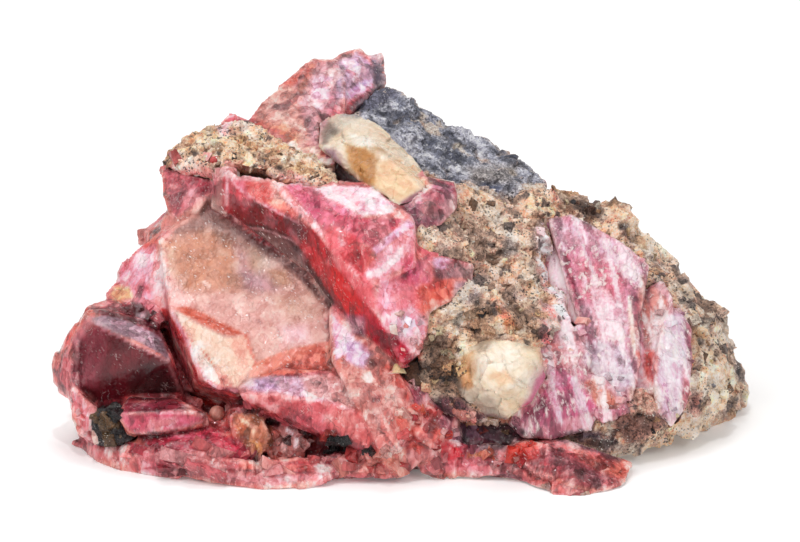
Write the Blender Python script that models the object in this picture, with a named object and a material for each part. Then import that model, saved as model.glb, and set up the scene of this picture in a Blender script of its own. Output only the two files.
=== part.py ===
"""Rough rhodonite: a hand specimen of intergrown pink and red crystals in speckled host rock.

Every corner is given as on a life-size front drawing, in millimetres: across from the drawing's
left edge, down from its top edge, and out of the paper towards the viewer. The drawing looks
down on the stone by VIEW_TILT. drawn() turns those figures into places in space.
"""
import math

import bmesh
import bpy
from mathutils import Vector, noise

MM = 0.001

# The front drawing
DRAWING_CENTRE_ACROSS = 40.0
DRAWING_CENTRE_DOWN = 27.1
VIEW_TILT = math.radians(20.0)
CENTRE_HEIGHT = 16.2      # of the drawing's centre over the surface that the stone rests on
ORIGIN_ACROSS = 0.12      # from the drawing's centre to the middle of the stone, to the right
ORIGIN_BACK = 0.46        # the same, away from the viewer

# The stone
GAP = 0.3                 # left between one mineral and the next
SHARPEST = 0.4            # limits how far the tip of a sharp corner is moved for that gap
HAIR = 0.06               # how far a corner is moved so that blocks never share an edge
HAIR_CELL = 1.7
BASE_BLOCK = 120.0        # side of the block that cuts the underside flat


def drawn(across, down, out):
    """The place in space, in metres, of a point of the front drawing."""
    right = across - DRAWING_CENTRE_ACROSS - ORIGIN_ACROSS
    up = DRAWING_CENTRE_DOWN - down
    back = up * math.sin(VIEW_TILT) - out * math.cos(VIEW_TILT) - ORIGIN_BACK
    height = up * math.cos(VIEW_TILT) + out * math.sin(VIEW_TILT) + CENTRE_HEIGHT
    return Vector((right, back, height)) * MM


def behind(right, back, height):
    """The drawing's figures of a point given by its place over the base, in millimetres."""
    back += ORIGIN_BACK
    height -= CENTRE_HEIGHT
    up = back * math.sin(VIEW_TILT) + height * math.cos(VIEW_TILT)
    out = height * math.sin(VIEW_TILT) - back * math.cos(VIEW_TILT)
    return (right + DRAWING_CENTRE_ACROSS + ORIGIN_ACROSS, DRAWING_CENTRE_DOWN - up, out)


def flat(outline, level, across=0.0, down=0.0):
    """The corners of a flat face: level is how far out its middle is, and the face comes out by
    across and down millimetres for each millimetre to the right and down the drawing."""
    mid_across = sum(a for a, d in outline) / len(outline)
    mid_down = sum(d for a, d in outline) / len(outline)
    return [(a, d, level + (a - mid_across) * across + (d - mid_down) * down) for a, d in outline]


def rooted(corners, root, flare=1.0, across=0.0, down=0.0):
    """The corners of a face and, root millimetres behind it, of its root: the root is wider by
    flare and lies across and down millimetres aside."""
    mid_across = sum(c[0] for c in corners) / len(corners)
    mid_down = sum(c[1] for c in corners) / len(corners)
    ends = [(mid_across + (a - mid_across) * flare + across, mid_down + (d - mid_down) * flare + down,
             out - root) for a, d, out in corners]
    return list(corners) + ends


def mesh_object(name, mesh):
    obj = bpy.data.objects.new(name, mesh)
    bpy.context.scene.collection.objects.link(obj)
    return obj


def settled(corners):
    """The corners in space, each a hair off its drawn place, so that no two blocks share an edge."""
    places = [drawn(*corner) for corner in corners]
    middle = sum(places, Vector()) / len(places)
    moved = []
    for at in places:
        spot = (at + middle * 3.0) / (HAIR_CELL * MM)
        aside = Vector((noise.noise(spot), noise.noise(spot.yzx), noise.noise(spot.zxy)))
        moved.append(at + aside * HAIR * MM)
    return moved


def wrapped(places):
    """The flat-faced skin around points in space."""
    bm = bmesh.new()
    for at in places:
        bm.verts.new(at)
    bmesh.ops.convex_hull(bm, input=bm.verts)
    loose = [v for v in bm.verts if not v.link_faces]
    bmesh.ops.delete(bm, geom=loose, context="VERTS")
    bmesh.ops.recalc_face_normals(bm, faces=bm.faces)
    bm.normal_update()
    return bm


def hull(corners, grown=0.0):
    """A flat-faced block around the corners, as an object, grown by that many millimetres."""
    bm = wrapped(settled(corners))
    if grown:
        moved = []
        for vertex in bm.verts:
            normals = [face.normal for face in vertex.link_faces]
            way = sum(normals, Vector()).normalized()
            mitre = max(min(way.dot(normal) for normal in normals), SHARPEST)
            moved.append(vertex.co + way * grown * MM / mitre)
        bm.free()
        bm = wrapped(moved)
    mesh = bpy.data.meshes.new("block")
    bm.to_mesh(mesh)
    bm.free()
    return mesh_object("block", mesh)


def take_evaluated(obj):
    """Makes an object's modifiers part of its mesh."""
    bpy.context.view_layer.update()
    shaped = obj.evaluated_get(bpy.context.evaluated_depsgraph_get())
    obj.data = bpy.data.meshes.new_from_object(shaped)
    obj.modifiers.clear()


def combine(obj, others, operation):
    """Joins other solids to an object, or cuts them away, in one step, and deletes them."""
    tools = bpy.data.collections.new("tools")
    for other in others:
        for collection in other.users_collection:
            collection.objects.unlink(other)
        tools.objects.link(other)
    bpy.context.scene.collection.children.link(tools)
    modifier = obj.modifiers.new("combine", "BOOLEAN")
    modifier.operation = operation
    modifier.solver = "MANIFOLD"  # EXACT leaves open edges where dozens of blocks meet
    modifier.operand_type = "COLLECTION"
    modifier.collection = tools
    take_evaluated(obj)
    for other in others:
        bpy.data.objects.remove(other)
    bpy.data.collections.remove(tools)


def keep_largest(obj):
    """Drops chips that the cuts left loose, so that the solid is one body."""
    bm = bmesh.new()
    bm.from_mesh(obj.data)
    unseen = set(bm.verts)
    bodies = []
    while unseen:
        body = set()
        reached = [unseen.pop()]
        while reached:
            vertex = reached.pop()
            body.add(vertex)
            for edge in vertex.link_edges:
                other = edge.other_vert(vertex)
                if other in unseen:
                    unseen.remove(other)
                    reached.append(other)
        bodies.append(body)
    bodies.sort(key=len)
    chips = [v for body in bodies[:-1] for v in body]
    bmesh.ops.delete(bm, geom=chips, context="VERTS")
    bmesh.ops.triangulate(bm, faces=bm.faces)
    bm.to_mesh(obj.data)
    bm.free()


def fused(name, blocks):
    """One solid of blocks that overlap, each a list of corners."""
    solid = hull(blocks[0])
    solid.name = name
    if blocks[1:]:
        combine(solid, [hull(corners) for corners in blocks[1:]], "UNION")
    return solid


def lump(place, height, size):
    """How far broken rock rises at a place, for lumps of that height and size."""
    spot = place / (size * MM)
    return height * (noise.noise(spot) - abs(noise.noise(spot * 1.7)))


def roughen(solid, cell, ratio, lumps, sunk=0.0):
    """Makes a solid's surface that of broken rock: lumps is a list of (height, size) of lumps, and
    the whole surface is sunk by that many millimetres."""
    remesh = solid.modifiers.new("cells", "REMESH")
    remesh.mode = "VOXEL"
    remesh.voxel_size = cell * MM
    take_evaluated(solid)
    bm = bmesh.new()
    bm.from_mesh(solid.data)
    bm.normal_update()
    moved = []
    for vertex in bm.verts:
        rise = sum(lump(vertex.co, height, size) for height, size in lumps) - sunk
        moved.append(vertex.co + vertex.normal * rise * MM)
    for vertex, place in zip(bm.verts, moved):
        vertex.co = place
    bm.to_mesh(solid.data)
    bm.free()
    decimate = solid.modifiers.new("facets", "DECIMATE")
    decimate.ratio = ratio
    take_evaluated(solid)


def cut_by(solid, blocks):
    """Cuts a solid back from a neighbour's blocks, with the gap between minerals."""
    combine(solid, [hull(corners, GAP) for corners in blocks], "DIFFERENCE")


def flatten_base(solid):
    """Cuts a solid off level at the surface that the stone rests on."""
    half = BASE_BLOCK / 2 * MM
    bpy.ops.mesh.primitive_cube_add(size=2 * half, location=(0, 0, -half))
    combine(solid, [bpy.context.object], "DIFFERENCE")


def finish(solid, colour, roughness):
    """Cleans a solid and gives it its colour."""
    keep_largest(solid)
    material = bpy.data.materials.new(solid.name)
    material.use_nodes = True
    shader = material.node_tree.nodes["Principled BSDF"]
    shader.inputs["Base Color"].default_value = (*colour, 1.0)
    shader.inputs["Roughness"].default_value = roughness
    shader.inputs["Metallic"].default_value = 0.0
    solid.data.materials.clear()
    solid.data.materials.append(material)


def slab_blocks():
    """The broad slab at the left of the front, with its left flank and its pale chip."""
    face = flat([(21.3, 19.7), (25.5, 21.6), (29.6, 24.0), (31.7, 27.2), (33.4, 31.0), (33.4, 34.2),
                 (27.0, 37.4), (23.8, 38.9), (20.3, 37.6), (17.4, 31.4), (16.2, 24.2)], 6.4, 0.05, 0.40)
    flank = flat([(16.6, 23.6), (15.0, 26.2), (14.7, 29.4), (17.6, 31.5), (19.2, 27.5)], 4.2, 0.45, 0.32)
    chip = flat([(17.9, 31.3), (20.6, 32.3), (24.5, 33.6), (25.7, 36.2), (24.0, 38.3), (22.0, 38.7),
                 (20.3, 37.5)], 8.75, 0.0, 0.36)
    return [rooted(face, 7.0, 1.19), rooted(flank, 6.0, 1.05), rooted(chip, 3.0, 1.02)]


def blade_blocks():
    """The red blade that crosses the front over the slab, its ridge and its bright top face."""
    left_end = [(21.8, 16.5, 5.0), (24.5, 16.8, 5.8), (27.2, 17.4, 7.4), (28.2, 18.4, 8.2),
                (30.0, 20.7, 9.7), (31.8, 23.0, 10.9), (26.4, 20.3, 8.6), (22.2, 20.3, 4.6),
                (24.0, 21.7, 4.8), (29.0, 23.6, 6.2), (31.4, 27.2, 7.8)]
    shoulder = [(27.9, 18.2, 8.0), (31.3, 18.7, 7.9), (33.5, 20.4, 10.0), (36.3, 21.7, 11.3),
                (41.2, 22.0, 10.8), (41.6, 25.3, 11.3), (34.1, 26.0, 12.3), (31.9, 23.2, 11.0),
                (29.1, 23.7, 6.5), (31.5, 27.4, 7.9), (33.7, 30.5, 9.4)]
    lower_end = [(33.9, 25.7, 12.2), (36.4, 28.4, 13.3), (38.2, 31.8, 13.6), (40.2, 35.9, 12.8),
                 (41.7, 35.2, 12.6), (42.5, 33.2, 12.5), (42.6, 31.0, 12.3), (41.8, 25.1, 11.0),
                 (33.6, 30.6, 9.3), (35.6, 32.0, 10.2), (37.7, 34.2, 11.0), (40.1, 36.5, 11.6)]
    top_face = [(31.3, 18.8, 8.0), (33.5, 18.5, 7.5), (37.4, 18.7, 7.7), (39.6, 20.5, 9.2),
                (41.3, 22.0, 10.9), (36.3, 21.6, 11.6), (33.5, 20.3, 10.3)]
    wedge = [(35.8, 22.4, 11.4), (41.2, 23.2, 11.4), (41.4, 26.6, 12.4), (37.0, 28.8, 13.5),
             (36.4, 25.4, 12.6)]
    pale_columns = [(21.8, 16.9, 5.2), (22.7, 17.2, 5.9), (23.4, 17.9, 5.8), (23.3, 20.6, 5.3),
                    (22.6, 21.3, 5.0), (21.4, 20.6, 4.5)]
    return [rooted(left_end, 7.0, 0.98), rooted(shoulder, 8.0, 0.98), rooted(lower_end, 9.0, 0.96),
            rooted(top_face, 7.0), rooted(wedge, 6.0), rooted(pale_columns, 5.0)]


def mauve_blocks():
    """The mauve crystals between the blade and the host rock."""
    upper = [(40.0, 20.3, 8.8), (41.9, 18.9, 7.8), (43.4, 19.6, 8.9), (45.4, 19.5, 7.0),
             (45.3, 20.8, 7.6), (43.9, 22.4, 9.0), (41.3, 23.2, 9.9), (42.3, 17.9, 6.5),
             (45.2, 18.5, 6.0)]
    lower = [(41.5, 24.8, 10.9), (43.6, 25.8, 10.6), (47.1, 26.6, 9.3), (46.9, 27.9, 9.8),
             (44.9, 29.9, 10.9), (42.0, 31.4, 12.2), (42.0, 27.8, 12.0)]
    return [rooted(upper, 7.0), rooted(lower, 7.0)]


def ledge_blocks():
    """The lavender ledge under the slab, the orange strip behind it and the tan-pink face."""
    ledge = [(24.2, 38.7, 10.4), (28.5, 37.0, 10.2), (33.0, 37.3, 10.6), (35.3, 39.2, 11.9),
             (24.5, 39.5, 11.4), (28.0, 39.6, 12.3), (32.3, 40.2, 12.9), (35.5, 41.1, 13.1),
             (25.5, 40.8, 9.6), (28.0, 41.5, 9.8), (31.3, 42.3, 10.4), (33.0, 43.4, 11.2),
             (35.6, 44.5, 11.9), (38.2, 44.9, 12.0)]
    strip = flat([(24.4, 38.1), (26.0, 36.4), (29.5, 34.9), (33.5, 33.9), (33.8, 37.4),
                  (30.0, 37.6), (26.0, 38.8)], 9.4, 0.03, 0.38)
    tan_face = [(33.1, 31.0, 9.2), (35.6, 33.7, 10.8), (37.6, 34.9, 11.2), (39.3, 36.7, 11.4),
                (40.8, 39.2, 11.8), (41.6, 41.2, 12.0), (39.6, 44.6, 12.8), (38.6, 44.9, 12.9),
                (36.8, 42.4, 12.9), (35.3, 39.6, 12.7), (33.5, 36.0, 11.2)]
    return [rooted(ledge, 7.0, 0.95), rooted(strip, 7.0), rooted(tan_face, 8.0, 1.04)]


def wine_blocks():
    """The dark wine-red crystal at the lower left, its bright top facet and its pale rim."""
    dark = [(9.2, 32.0, 6.4), (10.5, 32.6, 7.0), (13.0, 34.0, 7.6), (16.8, 36.1, 8.0),
            (7.3, 38.0, 5.2), (9.7, 40.6, 3.8), (13.1, 40.4, 3.4), (18.6, 40.2, 3.6),
            (7.2, 35.2, 5.4), (7.9, 33.2, 5.8), (9.0, 31.2, 5.4), (10.9, 31.3, 5.4),
            (14.3, 32.2, 5.6), (16.0, 33.5, 6.0), (17.0, 35.6, 7.2)]
    top_rim = [(9.0, 30.8, 3.6), (10.9, 30.2, 3.0), (13.5, 30.3, 2.8), (15.4, 31.6, 3.6),
               (15.0, 33.0, 4.6), (11.0, 31.6, 5.2), (8.6, 31.8, 5.0), (7.4, 33.4, 3.8)]
    left_rim = [(7.6, 32.5, 4.4), (6.7, 34.2, 3.2), (5.6, 36.7, 2.6), (5.7, 38.0, 2.8),
                (7.3, 39.9, 4.2), (7.9, 38.8, 6.0), (7.4, 37.2, 5.9), (7.9, 34.6, 6.2)]
    lower_rim = [(7.3, 39.6, 4.4), (7.6, 41.9, 4.6), (8.3, 43.4, 4.6), (9.2, 42.4, 6.0),
                 (9.6, 40.9, 6.6), (8.4, 39.6, 6.7), (7.5, 38.9, 6.1)]
    shelf = [(9.0, 42.0, 4.9), (10.6, 40.6, 5.0), (13.4, 40.6, 5.2), (14.2, 43.4, 6.4),
             (11.8, 44.2, 5.6), (9.5, 43.9, 4.4), (8.4, 43.4, 4.2)]
    return [rooted(dark, 7.0, 0.95), rooted(top_rim, 7.0, 0.8, 2.0, 2.0),
            rooted(left_rim, 6.0, 0.7, 2.5, 0.0), rooted(lower_rim, 6.0, 0.9, 1.0, 0.0),
            rooted(shelf, 6.0)]


def prism_blocks():
    """The pink prisms and blades that lie along the lower left edge."""
    first = [(13.1, 40.0, 6.6), (17.4, 40.0, 6.9), (19.3, 40.8, 7.6), (12.1, 41.4, 9.0),
             (17.8, 41.1, 9.9), (20.6, 41.4, 9.6), (13.3, 43.1, 8.8), (16.1, 43.1, 9.2),
             (19.2, 42.6, 9.2), (20.8, 42.3, 9.0)]
    second = [(14.2, 43.8, 7.4), (16.6, 43.0, 7.6), (21.0, 42.7, 8.0), (23.6, 43.6, 9.0),
              (24.5, 45.6, 10.0), (21.8, 44.4, 10.2), (17.0, 44.4, 9.6), (24.2, 46.9, 10.6),
              (19.0, 46.2, 10.2), (15.6, 45.2, 9.0)]
    third = [(16.8, 45.3, 9.8), (20.0, 45.4, 11.0), (24.2, 46.2, 11.4), (24.4, 47.4, 11.6),
             (20.4, 47.0, 11.4), (17.2, 46.2, 10.4)]
    end_slab = [(8.4, 44.5, 1.2), (12.0, 44.1, 5.6), (14.4, 44.3, 7.6), (9.9, 46.1, 4.6),
                (12.3, 46.8, 7.0), (15.2, 47.2, 8.4), (18.0, 47.6, 10.0), (17.6, 45.8, 10.4),
                (14.6, 45.2, 9.4), (10.0, 45.0, 4.6)]
    bed = [(9.4, 42.6, 3.4), (14.0, 41.0, 5.2), (24.0, 42.0, 7.8), (24.0, 46.8, 8.6),
           (14.0, 46.0, 6.4), (10.4, 45.2, 3.4)]
    return [rooted(first, 5.0, 0.98), rooted(second, 6.0), rooted(third, 6.0),
            rooted(end_slab, 7.0, 0.9), rooted(bed, 6.0)]


def lower_edge_blocks():
    """The hollow under the ledge, and the blocks along the lower edge of the front."""
    hollow_floor = flat([(23.0, 41.0), (26.0, 40.0), (36.0, 43.6), (35.0, 47.0), (23.5, 47.0)], 8.0, 0.08, 0.1)
    tan_nodule = [(23.1, 41.6, 9.0), (24.4, 41.1, 9.6), (26.2, 41.8, 9.9), (27.0, 43.6, 10.2),
                  (26.2, 45.2, 10.5), (24.8, 45.3, 10.3), (23.6, 43.4, 9.9)]
    glitter = [(27.0, 42.6, 9.0), (29.4, 43.0, 9.4), (31.0, 44.4, 9.6), (29.6, 45.8, 10.4),
               (27.0, 45.6, 10.3)]
    rim = [(24.0, 46.3, 11.2), (28.0, 46.0, 11.0), (31.4, 45.9, 10.8), (33.6, 45.8, 10.6),
           (33.9, 47.2, 11.1), (32.2, 48.0, 11.6), (29.8, 48.3, 11.9), (26.4, 48.6, 12.2),
           (21.2, 47.8, 10.8), (18.0, 47.2, 9.8)]
    pale_block = [(33.6, 45.5, 10.9), (36.2, 45.2, 11.5), (39.2, 44.9, 12.0), (41.2, 44.7, 11.6),
                  (41.8, 46.0, 11.2), (40.8, 47.0, 10.9), (38.6, 47.5, 11.0), (35.3, 47.2, 10.8),
                  (33.8, 47.0, 10.6)]
    column = [(40.0, 38.0, 10.8), (42.0, 37.8, 10.4), (43.8, 39.6, 9.6), (45.6, 41.6, 9.4),
              (46.0, 43.8, 9.6), (44.0, 45.8, 10.3), (41.0, 46.0, 10.9), (39.6, 44.6, 11.6),
              (41.2, 41.2, 11.5)]
    pale_point = [(41.4, 41.8, 11.3), (43.0, 40.6, 11.0), (44.8, 42.2, 10.6), (43.6, 44.4, 11.5),
                  (41.8, 43.6, 11.9)]
    red_block = [(42.6, 45.2, 10.6), (44.4, 43.9, 10.6), (46.4, 44.6, 10.2), (47.8, 45.5, 9.2),
                 (46.8, 46.9, 9.2), (44.5, 47.0, 9.4), (42.2, 46.9, 10.2)]
    orange_block = [(46.2, 45.3, 9.5), (48.6, 44.5, 9.7), (50.6, 44.8, 9.9), (50.8, 46.4, 10.0),
                    (48.0, 47.0, 9.6), (46.0, 46.9, 9.2)]
    red_orange = [(50.0, 44.9, 9.9), (52.4, 44.2, 10.3), (54.6, 44.6, 10.8), (54.8, 46.4, 11.4),
                  (52.4, 47.2, 11.2), (50.2, 46.7, 10.2)]
    right_strip = [(43.4, 46.0, 9.4), (46.4, 45.2, 9.0), (50.0, 44.8, 9.0), (53.0, 44.6, 9.4),
                   (55.6, 44.0, 9.6), (56.8, 45.8, 10.8), (54.0, 47.4, 10.9), (50.0, 47.1, 9.7),
                   (46.4, 47.1, 9.0), (43.4, 47.2, 9.2)]
    return [rooted(hollow_floor, 8.0), rooted(tan_nodule, 4.0), rooted(glitter, 4.0),
            rooted(rim, 8.0, 0.95), rooted(pale_block, 7.0), rooted(column, 7.0),
            rooted(pale_point, 4.0), rooted(red_block, 7.0), rooted(orange_block, 6.0),
            rooted(red_orange, 6.0), rooted(right_strip, 8.0)]


def foot_blocks():
    """The mauve foot at the lower right and the dark recess above the lower edge."""
    foot = [(51.0, 47.0, 9.4), (53.6, 48.5, 12.0), (55.3, 49.2, 13.4), (57.8, 49.4, 13.9),
            (60.0, 48.8, 12.9), (61.9, 48.2, 11.6), (62.9, 46.3, 8.6), (60.0, 45.4, 9.4),
            (56.5, 44.2, 9.6), (53.8, 44.4, 9.8), (52.0, 45.6, 9.8), (56.6, 46.9, 12.6)]
    recess = flat([(44.6, 40.4), (48.0, 41.0), (53.0, 41.8), (55.6, 43.2), (54.4, 45.4),
                   (49.0, 45.8), (45.4, 45.0)], 8.6, 0.0, 0.10)
    return [rooted(foot, 8.0, 0.92), rooted(recess, 6.0)]


def upper_left_blocks():
    """The pink crystals and the granular shoulder at the upper left, up to the peak."""
    rose = [(16.4, 17.4, 0.2), (17.2, 16.4, -0.2), (19.2, 15.9, 0.6), (21.2, 17.0, 2.4),
            (21.8, 18.8, 3.6), (19.8, 21.0, 3.6), (17.2, 21.5, 2.4), (16.6, 19.4, 1.2)]
    neck = [(17.2, 20.8, 1.6), (19.8, 20.6, 3.0), (18.8, 23.0, 3.2), (16.4, 23.4, 2.2),
            (16.3, 22.4, 1.4)]
    left_clear = [(16.8, 23.0, 2.4), (14.3, 24.8, 1.6), (13.3, 25.8, 1.4), (12.4, 27.1, 1.2),
                  (11.6, 28.7, 1.4), (13.0, 30.2, 3.4), (14.6, 31.8, 4.8), (15.9, 32.6, 5.6),
                  (16.2, 30.6, 5.0), (15.2, 27.2, 3.4)]
    yellow_lumps = [(10.8, 29.4, 2.2), (11.5, 28.6, 1.8), (13.0, 29.3, 2.8), (13.8, 30.6, 4.0),
                    (12.6, 31.2, 4.2), (11.0, 30.6, 3.2)]
    lilac_point = [(22.2, 12.3, -3.0), (23.1, 11.5, -3.6), (24.8, 12.3, -3.0), (24.6, 13.6, -2.0),
                   (22.6, 13.8, -1.8)]
    slope = [(24.4, 13.0, -2.4), (26.0, 10.8, -4.2), (27.2, 9.6, -5.0), (28.9, 8.5, -5.4),
             (31.4, 11.0, -2.6), (32.8, 14.0, 0.4), (33.4, 16.4, 3.0), (30.0, 16.2, 2.2),
             (26.4, 14.8, 0.4)]
    spur = [(27.9, 8.8, -5.6), (30.1, 7.0, -6.8), (31.4, 5.9, -7.6), (33.4, 6.1, -7.2),
            (34.3, 8.2, -5.2), (34.2, 11.6, -2.6), (33.2, 14.6, -0.4), (31.0, 13.2, -1.4),
            (28.6, 11.0, -3.6)]
    peak = [(33.2, 6.1, -7.6), (34.6, 5.2, -8.6), (35.9, 4.9, -8.9), (37.1, 6.1, -8.4),
            (37.8, 8.2, -7.6), (36.4, 9.8, -5.6), (34.8, 11.2, -4.0), (33.9, 9.0, -5.0)]
    return [rooted(rose, 8.0, 0.6, 3.0, 2.5), rooted(neck, 8.0, 0.8, 2.0, 0.5),
            rooted(left_clear, 8.0, 0.6, 3.0, 1.5), rooted(yellow_lumps, 5.0, 0.6, 2.0, 1.0),
            rooted(lilac_point, 5.0, 0.5, 1.0, 2.6), rooted(slope, 9.0, 0.6, 0.5, 5.5),
            rooted(spur, 8.0, 0.6, 0.0, 5.5), rooted(peak, 7.0, 0.5, -0.5, 5.5)]


def band_blocks():
    """The speckled band of host rock that runs over the pink crystals at the upper left."""
    left = [(16.1, 16.6, 0.4), (17.0, 14.9, -0.6), (18.2, 14.0, -1.0), (19.6, 13.8, -1.2),
            (20.8, 13.0, -1.4), (22.8, 12.6, -1.0), (24.4, 13.8, 1.6), (24.4, 17.2, 5.8),
            (21.4, 17.7, 4.8), (18.8, 17.2, 2.6)]
    right = [(22.0, 12.7, -1.2), (25.0, 12.4, -1.0), (28.4, 14.0, 1.7), (31.8, 16.2, 4.9),
             (34.4, 18.6, 7.2), (31.4, 19.4, 7.9), (28.0, 18.4, 7.7), (24.0, 17.4, 6.1),
             (22.6, 15.6, 4.0)]
    return [rooted(left, 5.0, 0.7, 1.5, 1.5), rooted(right, 5.0, 0.8, 0.5, 2.0)]


def mass_blocks():
    """The mass of rhodonite behind the front crystals, at the left and the back."""
    lower = [(16.4, 22.8, -1.2), (10.0, 32.6, -2.0), (7.4, 36.8, -1.4), (8.6, 41.4, -4.0),
             (11.4, 40.6, -13.0), (21.0, 37.4, -19.8), (23.0, 27.0, -19.6), (16.6, 27.0, -12.6),
             (11.4, 34.0, -9.8), (42.0, 28.0, -19.8), (42.0, 36.0, -20.6), (20.0, 44.0, 4.0),
             (34.0, 44.0, 6.0)]
    upper = [(17.0, 17.6, -2.6), (21.0, 14.6, -5.6), (27.0, 11.4, -10.6), (31.0, 9.2, -12.6),
             (16.6, 23.4, -2.6), (19.6, 25.0, -14.6), (27.0, 21.6, -19.6), (37.0, 12.4, -14.6),
             (42.0, 20.0, -19.8), (42.0, 30.0, -20.0), (24.0, 28.0, -19.0)]
    ridge = [behind(-26.0, 4.0, 0.0), behind(-18.0, 14.0, 0.0), behind(-8.0, 21.4, 0.0),
             behind(1.0, 22.4, 0.0), behind(-7.0, 20.0, 10.0), behind(1.0, 20.0, 11.0),
             behind(-14.0, 14.0, 15.0), behind(-6.0, 13.0, 22.0), behind(-22.0, 4.0, 10.0),
             behind(1.0, 15.0, 20.0)]
    return [lower, upper, ridge]


def mass_side():
    """The left part of the stone, up to where the mass of rhodonite meets the host rock."""
    return [(-20.0, -20.0, -50.0), (-20.0, 80.0, -50.0), (-20.0, -20.0, 5.0), (-20.0, 80.0, 5.0),
            (41.0, -10.0, -50.0), (27.0, 60.0, -50.0), (35.0, -10.0, 5.0), (38.0, 60.0, 5.0)]


def panel_blocks():
    """The fibrous pink crystals set in the right half of the host rock."""
    main = flat([(55.2, 22.2), (57.0, 21.9), (59.1, 22.9), (61.3, 24.1), (62.8, 25.4), (64.6, 26.7),
                 (63.6, 28.0), (63.1, 30.2), (63.3, 33.4), (60.4, 35.0), (58.2, 32.0), (56.4, 27.0)],
                3.6, 0.0, 0.46)
    left_strip = [(54.3, 22.9, -0.6), (55.6, 22.0, -0.2), (57.2, 25.6, 2.6), (58.6, 29.6, 4.6),
                  (59.6, 33.0, 6.2), (57.3, 31.9, 4.8), (55.5, 29.0, 3.0), (54.4, 26.2, 1.4)]
    lower = flat([(57.2, 33.0), (60.0, 32.2), (63.4, 33.0), (63.6, 36.2), (62.8, 39.8), (60.6, 40.2),
                  (58.4, 37.0)], 7.3, 0.02, 0.30)
    red_strip = flat([(63.2, 29.8), (66.0, 28.4), (67.0, 30.0), (67.0, 33.0), (65.9, 35.6), (65.7, 39.2),
                      (63.6, 39.0), (63.2, 35.0)], 4.6, -0.02, 0.34)
    lilac_column = [(66.7, 31.2, 3.2), (67.9, 31.0, 2.6), (68.8, 33.0, 3.0), (68.7, 37.0, 4.6),
                    (68.2, 40.2, 5.4), (66.9, 42.2, 6.0), (65.8, 41.0, 6.8), (65.5, 37.2, 6.2),
                    (66.1, 33.6, 5.2)]
    left_block = [(54.0, 32.9, 7.2), (56.6, 32.2, 7.0), (58.8, 35.6, 8.3), (58.0, 38.4, 9.2),
                  (56.0, 38.4, 9.6), (54.1, 36.9, 9.3)]
    salmon = [(57.6, 37.4, 8.8), (60.2, 37.8, 8.8), (62.6, 41.0, 9.2), (60.2, 42.0, 9.6),
              (58.2, 40.0, 9.5)]
    magenta = [(52.0, 40.9, 10.2), (53.6, 38.8, 9.8), (55.6, 37.2, 9.2), (58.0, 38.4, 9.0),
               (59.8, 41.0, 9.0), (58.8, 42.6, 9.2), (55.4, 43.4, 9.8), (52.2, 43.3, 9.9),
               (51.1, 42.2, 9.8), (55.2, 40.6, 10.8)]
    return [rooted(main, 7.0, 0.98), rooted(left_strip, 7.0), rooted(lower, 8.0),
            rooted(red_strip, 7.0), rooted(lilac_column, 6.0), rooted(left_block, 7.0),
            rooted(salmon, 6.0), rooted(magenta, 8.0)]


def honey_blocks():
    """The honey-coloured quartz crystal below the peak."""
    return [[(32.1, 12.6, -0.6), (33.6, 11.6, -1.4), (35.6, 11.7, -1.2), (38.0, 12.9, -0.2),
             (39.2, 14.3, 1.0), (42.0, 17.2, 4.2), (43.2, 19.6, 7.6), (41.8, 18.9, 8.2),
             (39.8, 20.5, 9.4), (37.3, 18.7, 8.0), (35.9, 17.8, 6.2), (33.4, 15.2, 3.2),
             (32.1, 14.6, 2.0), (37.4, 14.8, 4.4), (37.6, 18.6, 8.4),
             (33.0, 14.0, -7.0), (38.0, 14.0, -6.0), (42.0, 18.6, -3.0), (38.0, 19.0, -3.0)]]


def cream_blocks():
    """The cream quartz nodule that stands out of the host rock."""
    return [[(46.6, 35.2, 11.4), (48.6, 34.3, 11.4), (50.8, 34.2, 11.6), (53.8, 34.8, 11.4),
             (54.2, 37.6, 12.4), (52.8, 39.8, 12.4), (50.6, 41.6, 11.4), (48.6, 41.2, 11.2),
             (46.6, 39.9, 11.2), (46.0, 38.4, 11.6), (46.3, 36.8, 11.8), (49.0, 36.6, 13.6),
             (52.6, 36.8, 13.8), (50.6, 38.4, 14.2),
             (47.6, 36.0, 5.0), (52.8, 36.0, 5.0), (52.4, 40.0, 5.0), (48.0, 40.0, 5.0)]]


def cap_blocks():
    """The dark grey mineral that caps the stone behind the honey quartz."""
    left = [(34.0, 11.2, -4.4), (35.4, 9.0, -6.4), (37.8, 7.8, -8.0), (39.6, 8.9, -7.8),
            (41.0, 10.6, -7.0), (43.0, 11.4, -7.0), (45.2, 12.4, -6.6), (44.8, 18.4, 2.6),
            (42.0, 17.6, 2.6), (39.4, 14.6, 0.0), (36.4, 12.0, -2.4)]
    right = [(42.6, 11.4, -7.0), (46.4, 12.2, -7.2), (48.1, 13.2, -7.0), (50.4, 14.7, -7.0),
             (52.3, 16.0, -6.8), (54.4, 17.0, -6.2), (55.4, 18.8, -4.0), (53.8, 20.0, -2.4),
             (50.5, 20.2, -0.2), (47.0, 20.2, 2.2), (45.0, 19.6, 3.4), (43.4, 17.8, 2.4)]
    return [rooted(left, 7.0, 0.8, 0.5, 2.0), rooted(right, 7.0, 0.8, -0.5, 2.5)]


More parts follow.
